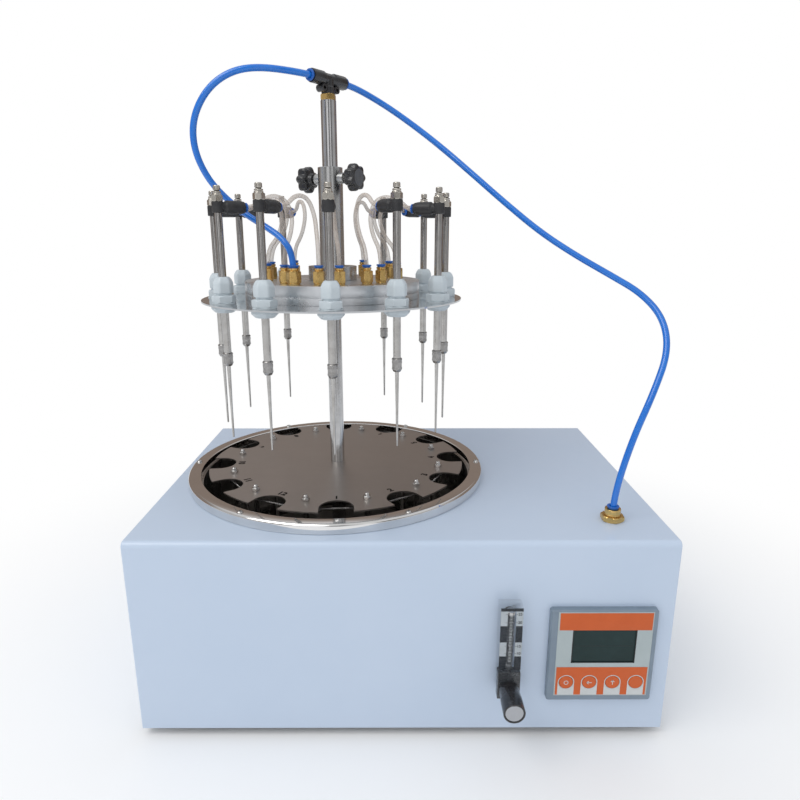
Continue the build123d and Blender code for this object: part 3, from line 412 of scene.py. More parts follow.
top = 196.0
ring_top = 206.0
ring_r = 158.0
ring_inner_r = 145.0
bowl_rim = 197.2
chrome = finish_of("mirror chrome", (0.8, 0.79, 0.78), 0.035, 1.0)
marked(chrome, (0.72, 0.7, 0.68), 0.5, 45, 0.05)
bowl_steel = finish_of("drawn steel", (0.5, 0.49, 0.47), 0.22, 1.0)
marked(bowl_steel, (0.33, 0.31, 0.29), 0.7, 25, 0.15)
grained(bowl_steel, 500, 0.12, stretch=(1, 1, 12))
heater_iron = finish_of("heater casting", (0.08, 0.078, 0.075), 0.6, 0.6)
marked(heater_iron, (0.14, 0.11, 0.09), 0.8, 80, 0.15)
finished("bath_bowl", bowl_steel)
finished("heater_and_probe", heater_iron)
ring_outline = softened(
    ((ring_inner_r, bowl_rim), (ring_inner_r, ring_top - 0.3), (ring_inner_r + 1.4, ring_top),
     (ring_r - 1.6, ring_top), (ring_r, ring_top - 1.6), (ring_r, top + 0.6), (ring_r - 0.5, top),
     (ring_r - 1.5, top), (ring_r - 1.5, ring_top - 1.5), (ring_inner_r + 1.5, ring_top - 1.5),
     (ring_inner_r + 1.5, bowl_rim)), 0.7, closed=True)
piece("bath_ring_chrome", [placed(turned(ring_outline, 256, closed=True), around(0, 0, turn=0))],
      "cabinet", chrome, ["bath_ring"])

bright_steel = finish_of("bright steel", (0.62, 0.61, 0.6), 0.16, 1.0)
marked(bright_steel, (0.42, 0.4, 0.38), 0.6, 120, 0.12)
screw_head = turned(((0, 1.25), (0.75, 1.25), (0.8, 1.85), (1.6, 1.7), (2.5, 1.2), (3.05, 0.55), (3.2, 0.0),
                     (0, 0)), 32)
screw_rest = turned(((0, 0), (1.6, 0), (1.6, -8), (3.2, -8), (3.2, -9.9), (1.6, -9.9), (1.6, -18), (0, -18)),
                    24)
ring_screw_circle_r = 153.0
ring_screws = []
for angle in range(30, 360, 60):
    ring_screws += set_at((screw_head, screw_rest), around(ring_screw_circle_r, angle, ring_top, turn=0))
piece("ring_screw_heads", ring_screws, "cabinet", bright_steel, ["ring_screws"])


def polygon_reach(degrees, sides):
    """How far out a polygon of apothem 1 reaches in a direction."""
    sector = 360 / sides
    return 1 / math.cos(math.radians((degrees + sector / 2) % sector - sector / 2))


def capped(verts, count):
    """Closed solid of rings of count points, one on another."""
    faces = [list(range(count)), list(range(len(verts) - count, len(verts)))]
    for low in range(0, len(verts) - count, count):
        for k in range(count):
            a, b = low + k, low + (k + 1) % count
            faces.append([a, b, b + count, a + count])
    return verts, faces


def stacked(rows, steps, reach):
    """Closed solid of rings at heights: reach(degrees, row) gives each ring's radius."""
    verts = [polar(reach(360 * k / steps, row), k, steps, row[0]) for row in rows for k in range(steps)]
    return capped(verts, steps)


def nut(across, z0, z1, corner=0.12, sides=6, steps=60):
    """Hexagonal bar whose corners are turned off at both ends."""
    half = across / 2
    cut = half * corner
    rows = ((z0, half * 0.99), (z0 + cut * 0.6, half + cut), (z0 + 1.3 * cut, half * 1.2),
            (z1 - 1.3 * cut, half * 1.2), (z1 - cut * 0.6, half + cut), (z1, half * 0.99))
    return stacked(rows, steps, lambda a, row: min(half * polygon_reach(a, sides), row[1]))


def knurled(z0, z1, r, depth, teeth, rows=9, edge=0.35):
    """Bar with a diamond knurl between two softened ends."""
    steps = teeth * 3
    levels = [(z0 + edge + (z1 - z0 - 2 * edge) * k / (rows - 1), 1.0, r) for k in range(rows)]

    def reach(a, row):
        cross = (row[0] - z0) / (z1 - z0) * rows * 60
        left, right = (max(math.cos(math.radians(a * teeth + way)), 0) for way in (cross, -cross))
        return row[2] - depth * row[1] * (1 - left * right)

    return stacked([(z0, 0.0, r - edge), *levels, (z1, 0.0, r - edge)], steps, reach)


def collet_part(r, height=2.5):
    """Release collet on its barrel's face: an oval-lipped ring round the tube."""
    wide = r + 2.4
    outline = ((r + 0.15, -1.5), (wide - 0.8, -1.5), (wide - 0.8, 0.9), (wide - 0.1, 1.15), (wide, 1.5),
               (wide, height - 0.3), (wide - 0.3, height), (r + 0.45, height), (r + 0.15, height - 0.35))
    return turned(outline, 40, closed=True)


# Gas outlet and inlet. Push-in bulkhead fittings in turned brass with blue collets: one stands
# on the cabinet's top and feeds the tee, the other is in the rear wall for the supply.
brass = finish_of("turned brass", (0.78, 0.53, 0.2), 0.18, 1.0)
marked(brass, (0.5, 0.31, 0.1), 0.55, 130, 0.12)
grained(brass, 900, 0.12, stretch=(1, 1, 6))
collet_blue = finish_of("collet blue", (0.012, 0.1, 0.42), 0.3)
marked(collet_blue, (0.02, 0.15, 0.5), 0.5, 200, 0.1)


def bulkhead_body(neck_top):
    """Flanged hexagon, neck, thread and nut of a bulkhead fitting, on z = 0."""
    thread = [(6.0 - 0.35 * (k % 2), -14 + 0.5 * k) for k in range(29)]
    return [
        nut(19.0, 0.0, 5.2), turned(((7.0, 5.0), (7.6, 5.3), (7.6, 6.6), (7.0, 7.0), (6.6, 7.3)), 48),
        turned(softened(((6.6, 6.4), (7.2, 6.8), (7.2, neck_top), (3.1, neck_top), (3.1, neck_top - 6)), 0.5),
               64),
        turned([(1.5, -14)] + thread, 40), nut(19.0, -6.5, -1.5)]


back_y = 175.5
outlet_place, outlet_neck = shift(193.5, -111.5, top), 11.5
inlet_place, inlet_neck = shift(120.0, back_y, 60.0) @ spin("X", -90), 23.5
fittings = set_at(bulkhead_body(outlet_neck), outlet_place) + set_at(bulkhead_body(inlet_neck), inlet_place)
piece("bulkhead_brass", fittings, "cabinet", brass, ["bulkhead_fittings"])
collets = [placed(collet_part(hose_r), outlet_place, shift(0, 0, outlet_neck)),
           placed(collet_part(hose_r), inlet_place, shift(0, 0, inlet_neck))]
piece("bulkhead_collets", collets, "cabinet", collet_blue)

# Mains inlet and switch. Black moulded insert in the rear wall, with a three-pin socket below
# and a rocker above it.
black_plastic = finish_of("black moulding", (0.018, 0.018, 0.02), 0.42)
marked(black_plastic, (0.05, 0.05, 0.052), 0.5, 90, 0.12)
grained(black_plastic, 2200, 0.2)
black_gloss = finish_of("black gloss", (0.012, 0.012, 0.014), 0.2, Coat_Weight=0.4, Coat_Roughness=0.1)
marked(black_gloss, (0.03, 0.03, 0.032), 0.5, 100, 0.14)
finished("power_inlet", black_plastic)
finished("power_switch", black_gloss)
label_white = finish_of("label white", (0.58, 0.6, 0.6), 0.45)
marked(label_white, (0.48, 0.5, 0.5), 0.4, 100, 0.1)
mark_h = 0.08


def wall_place(x, z, out):
    """Place on the rear wall, facing out, at a height and a distance out."""
    return shift(x, back_y + out, z) @ spin("Z", 180) @ spin("X", 90)


def tile(w, h, x=0.0, y=0.0, z=0.0, t=mark_h):
    """Thin plate w by h on z."""
    return capped([(x + i * w / 2, y + j * h / 2, c) for c in (z, z + t) for i, j in square], 4)


rocker_face = wall_place(-150.0, 79.0, 3.5)
rocker_dot = turned(((2.6, 0), (2.6, mark_h), (1.9, mark_h), (1.9, 0)), 32, closed=True)
piece("rocker_marks", [placed(tile(1.0, 4.6, x=5.5), rocker_face),
                       placed(rocker_dot, rocker_face, shift(-5.5, 0, 0))],
      "switch", label_white)

# Tube rack. Two brushed steel plates on the column, tied by twelve posts with dome nuts. The
# upper plate has an open notch and an engraved number at each place; a spring runs round the posts.
rack_top = 208.0
tray_top = 98.0
brushed_plate = finish_of("brushed plate", (0.47, 0.435, 0.41), 0.3, 1.0)
marked(brushed_plate, (0.38, 0.34, 0.31), 0.5, 9, 0.06)
grained(brushed_plate, 160, 0.2, stretch=(1, 22, 1), distance=0.0001)
finished("rack_top_plate", brushed_plate)
finished("rack_lower_plate", brushed_plate)


def curve_part(curve, unit=1.0):
    """A curve's mesh as a part; unit is the part's millimetre in the curve."""
    source = bpy.data.objects.new("source", curve)
    mesh = bpy.data.meshes.new_from_object(source)
    bpy.data.objects.remove(source)
    return [tuple(c / unit for c in v.co) for v in mesh.vertices], [list(p.vertices) for p in mesh.polygons]


def lettered(text, size, place, lift=0.02, weight=0.0):
    """Flat figures, size high, lying on a place."""
    curve = bpy.data.curves.new("figures", "FONT")
    curve.body = text
    curve.size = size * mm
    curve.align_x = "CENTER"
    curve.align_y = "CENTER"
    curve.extrude = lift * mm
    curve.offset = weight * mm
    return placed(curve_part(curve, mm), place)


engraving = finish_of("engraved black", (0.006, 0.005, 0.005), 0.6, Specular_IOR_Level=0.1)
marked(engraving, (0.015, 0.013, 0.012), 0.6, 300, 0.2)
places, step = 12, 30
figure_circle_r, post_circle_r, needle_circle_r = 104.5, 111.5, 116.0
figures = [lettered(str(k + 1), 9.6, around(figure_circle_r, step * k, rack_top + 0.06), 0.06, 0.34)
           for k in range(places)]
piece("place_numbers", figures, "rack", engraving)

plate_t = 1.5
post_outline = ((0, 94.6), (2.2, 94.6), (2.5, 95.0), (2.5, 96.6), (2.5, rack_top - plate_t),
                (0, rack_top - plate_t))
dome_outline = [(r, rack_top + z) for r, z in ((0, 5.8), (1.5, 5.8), (2.6, 4.7), (2.75, 2.6), (3.6, 2.5))]
post = [turned(post_outline, 24), turned(softened(dome_outline, 0.7), 28)]
for z0, z1 in ((rack_top, rack_top + 2.5), (rack_top - 3.9, rack_top - plate_t), (tray_top, tray_top + 2.4),
               (tray_top - 3.9, tray_top - plate_t)):
    post.append(nut(7.2, z0, z1, steps=36))
posts = []
for k in range(places):
    posts += set_at(post, around(post_circle_r, step * k + step / 2))
piece("rack_posts_turned", posts, "rack", bright_steel, ["rack_posts"])


def spring_coil():
    """Wire wound round the line that joins the posts, as one long thin coil."""
    wire_r, coil_r, line_r, line_z, pitch, steps = 0.3, 1.1, 115.4, 200.0, 1.25, 7
    corners = [around(line_r, step * k + step / 2, line_z).translation for k in range(places)]
    curve = bpy.data.curves.new("coil", "CURVE")
    curve.dimensions = "3D"
    wire = []
    for a, b in zip(corners, corners[1:] + corners[:1]):
        along = (b - a).normalized()
        side = along.cross(Vector((0, 0, 1)))
        turns = round((b - a).length / pitch)
        for k in range(turns * steps):
            t = math.tau * k / steps
            out = side * math.cos(t) + Vector((0, 0, 1)) * math.sin(t)
            wire.append(a + along * (b - a).length * k / (turns * steps) + out * coil_r)
    line = curve.splines.new("POLY")
    line.points.add(len(wire) - 1)
    for point, co in zip(line.points, wire):
        point.co = (*co, 1)
    line.use_cyclic_u = True
    curve.bevel_depth = wire_r
    curve.bevel_resolution = 0
    return curve_part(curve)


piece("tube_spring_coil", [spring_coil()], "rack", bright_steel, ["tube_spring"], sharp=100)

# Column and tee. The polished column stands on the bath's pivot; a brass nipple in its top
# carries the black tee, whose two barrels grip the hoses with blue collets.
polished_tube = finish_of("polished tube", (0.6, 0.6, 0.6), 0.11, 1.0)
marked(polished_tube, (0.42, 0.41, 0.4), 0.6, 50, 0.1)
grained(polished_tube, 420, 0.05, stretch=(1, 1, 10))
column_r, washer_r, column_foot, column_end = 7.5, 12, 54.3, 574.0
column_outline = softened(
    ((4.5, column_foot), (column_r, column_foot), (column_r, 91.5), (washer_r, 91.5), (washer_r, 96.5),
     (column_r, 96.5), (column_r, 201.5), (washer_r, 201.5), (washer_r, 206.5), (column_r, 206.5),
     (column_r, column_end), (4.5, column_end)), 0.4)
piece("column_tube", [placed(turned(column_outline), around(0, 0))], "rack", polished_tube,
      ["column"])

tee_z = 592.5
tee_place = shift(column_x, column_y, tee_z) @ spin("Z", 53.0)
nipple = [nut(13.2, -18.5, -13.0), turned(((4.5, -27), (4.5, -18.5), (0, -18.5)), 32)]
piece("tee_nipple", set_at(nipple, tee_place), "rack", brass)
barrel_end = 22.5
barrel_outline = ((3.1, 16.5), (3.1, barrel_end), (6.25, barrel_end), (6.25, 7.2), (5.2, 6.0), (5.2, 0),
                  (0, 0))
barrel = turned(softened(barrel_outline, 0.8), 64)
stem = turned(softened(((0, -13), (6.4, -13), (6.4, -7.5), (5.6, -6.2), (5.6, 0), (0, 0)), 0.6), 64)
lug_outline = softened(((1.5, -4.5), (3.4, -4.5), (3.4, 4.5), (1.5, 4.5)), 0.4, closed=True)
lug = turned(lug_outline, 36, closed=True)
body_parts = [stem]
for side in (0, 180):
    body_parts.append(placed(barrel, spin("Z", side), spin("Y", 90)))
    body_parts.append(placed(lug, spin("Z", side), shift(8.6, 0, -8.6), spin("X", 90)))
piece("tee_moulding", set_at(body_parts, tee_place), "rack", black_gloss,
      ["tee_fitting"])
tee_collets = [placed(collet_part(hose_r), tee_place, spin("Z", side), spin("Y", 90), shift(0, 0, barrel_end))
               for side in (0, 180)]
piece("tee_collets", tee_collets, "rack", collet_blue)

# Lift sleeve. A steel sleeve that slides on the column and carries the plate, with a hub and its
# set screw on the manifold and two threaded bosses for the clamp knobs near its top.
plate_top = 387.0
manifold_top = 404.5
sleeve_top = 513.3
clamp_z = 502.8
sleeve_steel = finish_of("sleeve steel", (0.56, 0.565, 0.56), 0.2, 1.0)
marked(sleeve_steel, (0.4, 0.4, 0.39), 0.6, 40, 0.12)
grained(sleeve_steel, 380, 0.1, stretch=(1, 1, 12))
sleeve_outline = softened(((7.6, 382.5), (18, 382.5), (18, 385.5), (12.2, 385.5), (12.2, sleeve_top),
                           (7.6, sleeve_top)), 0.5, closed=True)
hub_outline = softened(((12.3, manifold_top), (24.5, manifold_top), (24.5, 418.5), (12.3, 418.5)), 0.7,
                       closed=True)
boss_outline = softened(((3.1, 8), (5.2, 8), (5.2, 17.5), (3.1, 17.5)), 0.4, closed=True)
set_screw = softened(((0, 22.2), (1.6, 22.2), (1.6, 24.2), (3.0, 24.2), (3.0, 14), (0, 14)), 0.2)


def clamp_axis(side):
    """Place on the sleeve with +Z along a clamp screw, out from the column."""
    return shift(column_x, column_y, clamp_z) @ spin("Z", 54.4 + rack_turn + 90 * (1 - side)) @ spin("X", 90)


sleeve_parts = [placed(turned(outline, closed=True), around(0, 0))
                for outline in (sleeve_outline, hub_outline)]
sleeve_parts += [placed(turned(boss_outline, 40, closed=True), clamp_axis(side)) for side in (-1, 1)]
hub_place = shift(column_x, column_y, manifold_top + 7) @ spin("Z", 90) @ spin("X", 90)
sleeve_parts.append(placed(turned(set_screw, 24), hub_place))
piece("lift_sleeve_turned", sleeve_parts, "carrier", sleeve_steel, ["lift_sleeve"])

# Clamp knobs. Seven-lobed black mouldings with a flat grey cap, on studs through the bosses.
knob_cap = finish_of("knob cap", (0.075, 0.08, 0.088), 0.38)
marked(knob_cap, (0.11, 0.115, 0.12), 0.5, 120, 0.1)
grained(knob_cap, 1500, 0.12)
knob_back = 23.5
knob_rows = [(knob_back + z, share) for z, share in (
    (0, 0.8), (0.6, 0.88), (1.6, 0.96), (3.0, 1.0), (8.2, 1.0), (9.8, 0.96), (10.7, 0.88), (11.0, 0.8))]


def lobed(a, row):
    """Radius of a seven-lobed outline with round lobes and tighter valleys."""
    wave = (1 + math.cos(math.radians(7 * a))) / 2
    return row[1] * (10.3 + 2.65 * wave ** 0.8)


for side, word in ((1, "right"), (-1, "left")):
    place = clamp_axis(side)
    hub = turned(softened(((3.0, 19.8), (5.2, 19.8), (6.6, 23.8), (8.0, 24.2)), 0.5), 40)
    body = "clamp_" + word
    piece(f"clamp_knob_{word}_star", [placed(stacked(knob_rows, 140, lobed), place), placed(hub, place)],
          body, black_gloss, [f"clamp_knob_{word}"], sharp=50)
    cap = turned(softened(((7.9, 34.4), (7.9, 34.62), (0, 34.62)), 0.1), 64)
    stud = turned(((3.0, 7.8), (3.0, 24.0)), 32)
    piece(f"clamp_knob_{word}_cap", [placed(cap, place)], body, knob_cap)
    piece(f"clamp_knob_{word}_stud", [placed(stud, place)], body, bright_steel)

# Gland plate and manifold. A mirror-polished disc carries the glands, and on it lies the turned
# aluminium manifold: a thin base and a thicker cover, with a dark seam groove between them.
mirror_plate = finish_of("mirror plate", (0.66, 0.67, 0.68), 0.05, 1.0)
marked(mirror_plate, (0.52, 0.53, 0.54), 0.5, 35, 0.08)
finished("gland_plate", mirror_plate)
aluminium = finish_of("turned aluminium", (0.78, 0.8, 0.82), 0.26, 1.0, Anisotropic=0.4)
marked(aluminium, (0.62, 0.64, 0.66), 0.5, 30, 0.12)
grained(aluminium, 300, 0.16, stretch=(1, 1, 16), distance=0.0001)
manifold_outline = softened(
    ((12.3, plate_top), (88.5, plate_top), (88.5, 393.3), (87.5, 393.3), (87.5, 394.3), (88.5, 394.3),
     (88.5, manifold_top), (12.3, manifold_top)), 0.45, closed=True)
piece("manifold_turned", [placed(turned(manifold_outline, 200, closed=True), around(0, 0))],
      "carrier", aluminium, ["manifold_block"])

# Manifold fittings. Brass push-in fittings with blue collets, screwed into the cover on washers:
# twelve for the clear branch tubes and a larger one that the looped hose feeds.
port_angles = (6.5, 30, 45.5, 80, 115, 150, 185, 220, 255, 285, 318, 350)
port_circle_r = 66.0
port_h = 15.0
inlet_circle_r, inlet_angle = 70.0, -30.0
inlet_spot = around(inlet_circle_r, inlet_angle, manifold_top)
port_spots = [around(port_circle_r, angle, manifold_top) for angle in port_angles]


def port_brass(r, across):
    """Washer, hexagon and neck of a push-in fitting on z = 0."""
    neck = r + 2.4
    neck_outline = ((neck - 0.7, 12.0), (neck - 0.7, 12.9), (neck, 13.2), (neck, port_h), (r + 0.1, port_h),
                    (r + 0.1, 9.5))
    return [turned(softened(((0, 0), (across / 2, 0), (across / 2, 1.2), (0, 1.2)), 0.25), 40),
            nut(across, 1.2, 12.2), turned(softened(neck_outline, 0.25), 40)]


branch_r = 2.0
ports, port_collets = [], []
for spots, r, across in ((port_spots, branch_r, 10.0), ([inlet_spot], hose_r, 12.0)):
    for spot in spots:
        ports += set_at(port_brass(r, across), spot)
        port_collets.append(placed(collet_part(r), spot, shift(0, 0, port_h)))
piece("manifold_brass", ports, "carrier", brass, ["manifold_fittings"])
piece("manifold_collets", port_collets, "carrier", collet_blue)

# Cable glands. Twelve light-grey nylon glands through the plate: washer and hexagon, a domed
# six-sided cap that grips the needle tube, and a tapered lock nut underneath.
nylon = finish_of("grey nylon", (0.56, 0.62, 0.655), 0.42, Subsurface_Weight=0.12,
                  Subsurface_Radius=(0.004, 0.004, 0.004), Subsurface_Scale=0.5)
marked(nylon, (0.5, 0.555, 0.585), 0.6, 70, 0.1)
grained(nylon, 1300, 0.12)
cap_base = 9.8
cap_rows = [(cap_base + z, r) for z, r in (
    (0, 8.7), (0.35, 9.05), (0.9, 9.2), (8.9, 9.2), (9.6, 9.1), (11.0, 8.6), (12.4, 7.9), (13.6, 7.05),
    (14.5, 6.2), (14.9, 5.5), (15.0, 4.9))]
lock_rows = [(-1.5 - z, r) for z, r in (
    (0, 11.7), (0.4, 12.1), (0.9, 12.2), (2.7, 12.2), (3.3, 11.9), (5.9, 9.3), (6.5, 8.6))]


def cap_reach(a, row):
    return min(row[1], row[1] / 9.2 * 8.35 * polygon_reach(a, 6))


def lock_reach(a, row):
    return min(row[1], row[1] / 12.2 * 11.2 * polygon_reach(a + 15, 8))


gland = [turned(softened(((3.62, 0), (10.8, 0), (10.8, 1.0), (3.62, 1.0)), 0.3), 56),
         nut(19.6, 1.0, 8.0, corner=0.08), turned(((7.4, 7.5), (7.4, cap_base + 0.5)), 48),
         stacked(cap_rows, 72, cap_reach), turned(((4.9, 24.75), (4.2, 24.3), (3.7, 23.5)), 40),
         stacked(lock_rows, 80, lock_reach)]
for k in range(places):
    spot = around(needle_circle_r, step * k, plate_top)
    facing = spin("Z", 11 * k)
    piece(f"gland_{k + 1:02d}", set_at(gland, spot, facing), "carrier", nylon,
          ["cable_glands"], sharp=24)

# Needles. Each is a polished tube through its gland with a knurled chuck and a tapering needle
# below, a black swivel ring and arm with a blue collet above, and a nickelled valve on top.
needle_set = (0, 1.5, 0.5, -1, 1, 0, -1, 0.5, 0, -0.5, 1, 0.5)
nickel = finish_of("bright nickel", (0.66, 0.63, 0.57), 0.17, 1.0)
marked(nickel, (0.45, 0.41, 0.35), 0.6, 220, 0.15)
# Painted shade: the nickelled valve screw's neck, in the narrow gap between its knurled rings, is coloured
# near black for the shade in that gap.
neck_painted_shade = finish_of("neck painted shade", (0.11, 0.1, 0.09), 0.4, 1.0)
marked(neck_painted_shade, (0.2, 0.18, 0.15), 0.6, 260, 0.15)
chuck_steel = finish_of("chuck steel", (0.42, 0.41, 0.4), 0.26, 1.0)
marked(chuck_steel, (0.26, 0.25, 0.24), 0.7, 240, 0.15)
tube_steel = finish_of("needle tube", (0.5, 0.49, 0.475), 0.13, 1.0)
marked(tube_steel, (0.34, 0.32, 0.3), 0.6, 90, 0.12)
grained(tube_steel, 500, 0.06, stretch=(1, 1, 9))

tube_parts = [turned(softened(((3.0, 334.7), (3.55, 334.7), (3.55, 467.7), (3.0, 467.7)), 0.2), 40),
              turned(((0, 255.0), (0.45, 255.05), (0.9, 255.6), (1.25, 290), (1.9, 327.2)), 24)]
chuck_end = ((4.5, 337.5), (4.7, 337.8), (4.7, 338.9), (4.1, 339.7), (3.5, 339.7))
chuck_parts = [turned(softened(((1.9, 326.9), (3.2, 326.9), (4.6, 329.4), (4.6, 330.0)), 0.3), 40),
               knurled(330.0, 337.6, 4.7, 0.28, 22, rows=8, edge=0.25), turned(softened(chuck_end, 0.25), 40)]
arm_z = 472.45
arm_end = 25.0
arm_outline = softened(((0, 0.5), (4.6, 0.5), (4.6, 6.0), (6.0, 7.6), (6.0, 20.5), (5.2, 24.6),
                        (4.7, arm_end), (2.1, arm_end), (2.1, 20)), 0.9)
arm_place = shift(0, 0, arm_z) @ spin("X", -90)
swivel_ring = softened(((2.6, 467.65), (5.3, 467.65), (5.3, 477.3), (2.6, 477.3)), 0.7, closed=True)
swivel_parts = [turned(swivel_ring, 56, closed=True), placed(turned(arm_outline, 48), arm_place)]
arm_collet = [placed(collet_part(branch_r), arm_place, shift(0, 0, arm_end))]
valve_parts = [nut(9.2, 477.3, 482.9, corner=0.14),
               turned(softened(((4.2, 482.7), (3.9, 484.3), (0, 484.3)), 0.3), 40)]
screw_bright = [knurled(484.62, 486.0, 3.9, 0.15, 24, rows=3, edge=0.25),
                knurled(487.15, 490.5, 3.3, 0.17, 20, rows=5, edge=0.2),
                turned(softened(((3.05, 490.45), (2.9, 490.9), (2.2, 491.3), (0, 491.32)), 0.3), 32)]
screw_neck = [turned(((1.6, 484.3), (1.6, 484.7), (2.5, 485.9), (2.5, 487.3), (1.6, 487.3)), 32)]
clear_tube = finish_of("clear tube", (0.6, 0.54, 0.49), 0.07, IOR=1.45)
tree = clear_tube.node_tree
rim = node_in(tree, "LayerWeight", {"Blend": 0.42})
show = node_in(tree, "MapRange", {"Value": rim.outputs["Facing"], "To Min": 0.42, "To Max": 0.88})
tree.links.new(show.outputs["Result"], tree.nodes["Principled BSDF"].inputs["Alpha"])
marked(clear_tube, (0.45, 0.36, 0.29), 0.6, 70, 0.05)
needle_rows = (("tube", tube_parts, tube_steel, "needle_steel"),
               ("chuck", chuck_parts, chuck_steel, "needle_steel"),
               ("swivel", swivel_parts, black_plastic, "black_matte"),
               ("collet", arm_collet, collet_blue, "blue_hose"), ("valve", valve_parts, nickel, "nickel"))
screw_rows = (("cap", screw_bright, nickel, "nickel"), ("neck", screw_neck, neck_painted_shade, "nickel"))
for k in range(places):
    spot = around(needle_circle_r, step * k, needle_set[k])
    for node, rows in ((f"needle_{k + 1:02d}", needle_rows), (f"valve_screw_{k + 1:02d}", screw_rows)):
        for n, (word, parts, material, slot) in enumerate(rows):
            piece(f"{node}_{word}", set_at(parts, spot), node + "_body", material, [] if n else [node])

# Branch tubes. Twelve short clear tubes, 4 mm outside, that arch from the arms' collets down to
# the manifold's ports; each is bent a little differently by where its port lies.
tube_profile = ((0.0, 0.0), (-17, 0.0), (-28, 11.5), (-43, 9.5), (-49.5, -5.5), (-44, -24))
tube_start_r = 97
port_face = manifold_top + port_h
for k in range(places):
    swing = port_angles[k] - step * k
    start_z = arm_z + needle_set[k]
    stops = [(tube_start_r + dr, start_z + dz) for dr, dz in tube_profile]
    stops += [(port_circle_r, port_face + 14), (port_circle_r, port_face - 6)]
    points = []
    for i, (r, z) in enumerate(stops):
        share = min(max(i - 1, 0) / 5, 1)
        points.append(tuple(around(r, step * k + swing * share, z).translation))
    tube, line = routed(f"branch_tube_{k + 1:02d}", points, branch_r)
    tube.data.materials.append(clear_tube)
    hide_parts("branch_tubes")
    length = sum((b - a).length for a, b in zip(line, line[1:]))
    start, end = ((*line[n].to_tuple()[:2], arm_z * mm) for n in (-1, 0))
    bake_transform(tube)

# Flowmeter. A clear acrylic block with a black foot inside it, black print with white fields on
# either side of a tapered glass tube, a float in the tube, and a black knob with a bright face.
meter_x = 94.2
meter_top = 142.0
meter_foot = 51.5
front_y = -156.5
acrylic = finish_of("clear acrylic", (0.4, 0.46, 0.52), 0.06, Alpha=0.07, IOR=1.49)
marked(acrylic, (0.2, 0.21, 0.22), 0.4, 60, 0.03)
scale_white = finish_of("scale white", (0.46, 0.5, 0.53), 0.4)
marked(scale_white, (0.36, 0.4, 0.42), 0.6, 160, 0.1)
meter_glass = finish_of("meter glass", (0.2, 0.21, 0.22), 0.06, Alpha=0.2)
marked(meter_glass, (0.1, 0.11, 0.12), 0.6, 120, 0.05)
black_print = finish_of("black print", (0.008, 0.01, 0.014), 0.35, Specular_IOR_Level=0.2)
marked(black_print, (0.02, 0.023, 0.03), 0.5, 90, 0.1)
polished_face = finish_of("polished face", (0.45, 0.46, 0.48), 0.08, 1.0)
marked(polished_face, (0.4, 0.41, 0.43), 0.5, 100, 0.08)


def front_place(x, z, out=0.0):
    """Place on the front panel: +X right, +Y up, +Z out of the panel."""
    return shift(x, front_y - out, z) @ spin("X", 90)


def rounded_slab(w, h, z0, z1, corner, edge):
    """Slab with rounded upright corners and a softened front edge."""
    def outline(inset):
        r = max(corner - inset, 0.05)
        xs, ys = w / 2 - inset - r, h / 2 - inset - r
        points = []
        for quarter, (sx, sy) in enumerate(((1, 1), (-1, 1), (-1, -1), (1, -1))):
            for k in range(7):
                a = math.radians(90 * quarter + 15 * k)
                points.append((sx * xs + r * math.cos(a), sy * ys + r * math.sin(a)))
        return points
    levels = [(z0, 0.0), (z1 - edge, 0.0)]
    for a in map(math.radians, (30, 60, 90)):
        levels.append((z1 - edge + edge * math.sin(a), edge * (1 - math.cos(a))))
    return capped([(x, y, z) for z, inset in levels for x, y in outline(inset)], len(outline(0)))


meter_mid = (meter_top + meter_foot) / 2
meter_h = meter_top - meter_foot
meter_place = front_place(meter_x, meter_mid)
meter_tube_place = shift(meter_x, front_y - 7.5, 0)
field_w, field_x = 5.9, 6.65
foot_slab = placed(rounded_slab(19.9, 27.0, 7.0, 14.9, 0.9, 0.5), shift(0, 13.6 - meter_h / 2, 0))
print_parts = [tile(19.2, 2.9, y=meter_h / 2 - 1.7, z=14.0, t=0.2)]
print_parts += [tile(field_w, meter_h - 30.0, x=side * field_x, y=14.4, z=13.8, t=0.2) for side in (-1, 1)]
print_parts.append(tile(7.4, meter_h - 37.5, y=10.7, z=3.2, t=0.2))
port = [turned([(0, 0)] + [(4.5 - 0.3 * (k % 2), -0.5 * k) for k in range(33)] + [(0, -16)], 32),
        nut(14, -5.5, -1.5)]
knob_z = 61.5
port_parts = [part for z in (130.0, knob_z) for part in set_at(port, front_place(meter_x, z))]
piece("meter_back", set_at([foot_slab], meter_place), "cabinet", black_gloss,
      ["rotameter_block"])
piece("meter_print", set_at(print_parts, meter_place), "cabinet", black_print)
piece("meter_ports", port_parts, "cabinet", brass)
cover = placed(rounded_slab(20.0, meter_h, 0, 15.0, 1.2, 0.8), meter_place)
piece("meter_cover", [cover], "cabinet", acrylic)
fields = []
for low, high in ((17.4, 2.9), (47.4, 33.6)):
    for side in (-1, 1):
        fields.append(tile(field_w, low - high, x=side * field_x, y=meter_h / 2 - (low + high) / 2,
                           z=14.05, t=0.1))
piece("meter_fields", set_at(fields, meter_place), "cabinet", scale_white)
scale_figures = []
for figure, drop in (("25", 6.0), ("20", 14.0), ("15", 37.5), ("10", 44.6)):
    y = meter_h / 2 - drop
    scale_figures.append(lettered(figure, 3.6, meter_place @ shift(7.1, y, 14.2), 0.02, 0.08))
    dashes = [tile(1.4, 0.35, x=side * 4.5, y=y, z=14.15, t=0.06) for side in (-1, 1)]
    scale_figures += set_at(dashes, meter_place)
piece("meter_figures", scale_figures, "cabinet", engraving)
bore = turned(((3.3, 75.0), (4.1, 133.0), (4.5, 133.0), (3.7, 75.0)), 40, closed=True)
piece("meter_tube", [placed(bore, meter_tube_place)], "cabinet", meter_glass)
ticks = [tile(2.2 if k % 5 else 3.2, 0.5, y=meter_h / 2 - 8.0 - 1.5 * k, z=11.7, t=0.05) for k in range(32)]
piece("meter_ticks", set_at(ticks, meter_place), "cabinet", label_white)
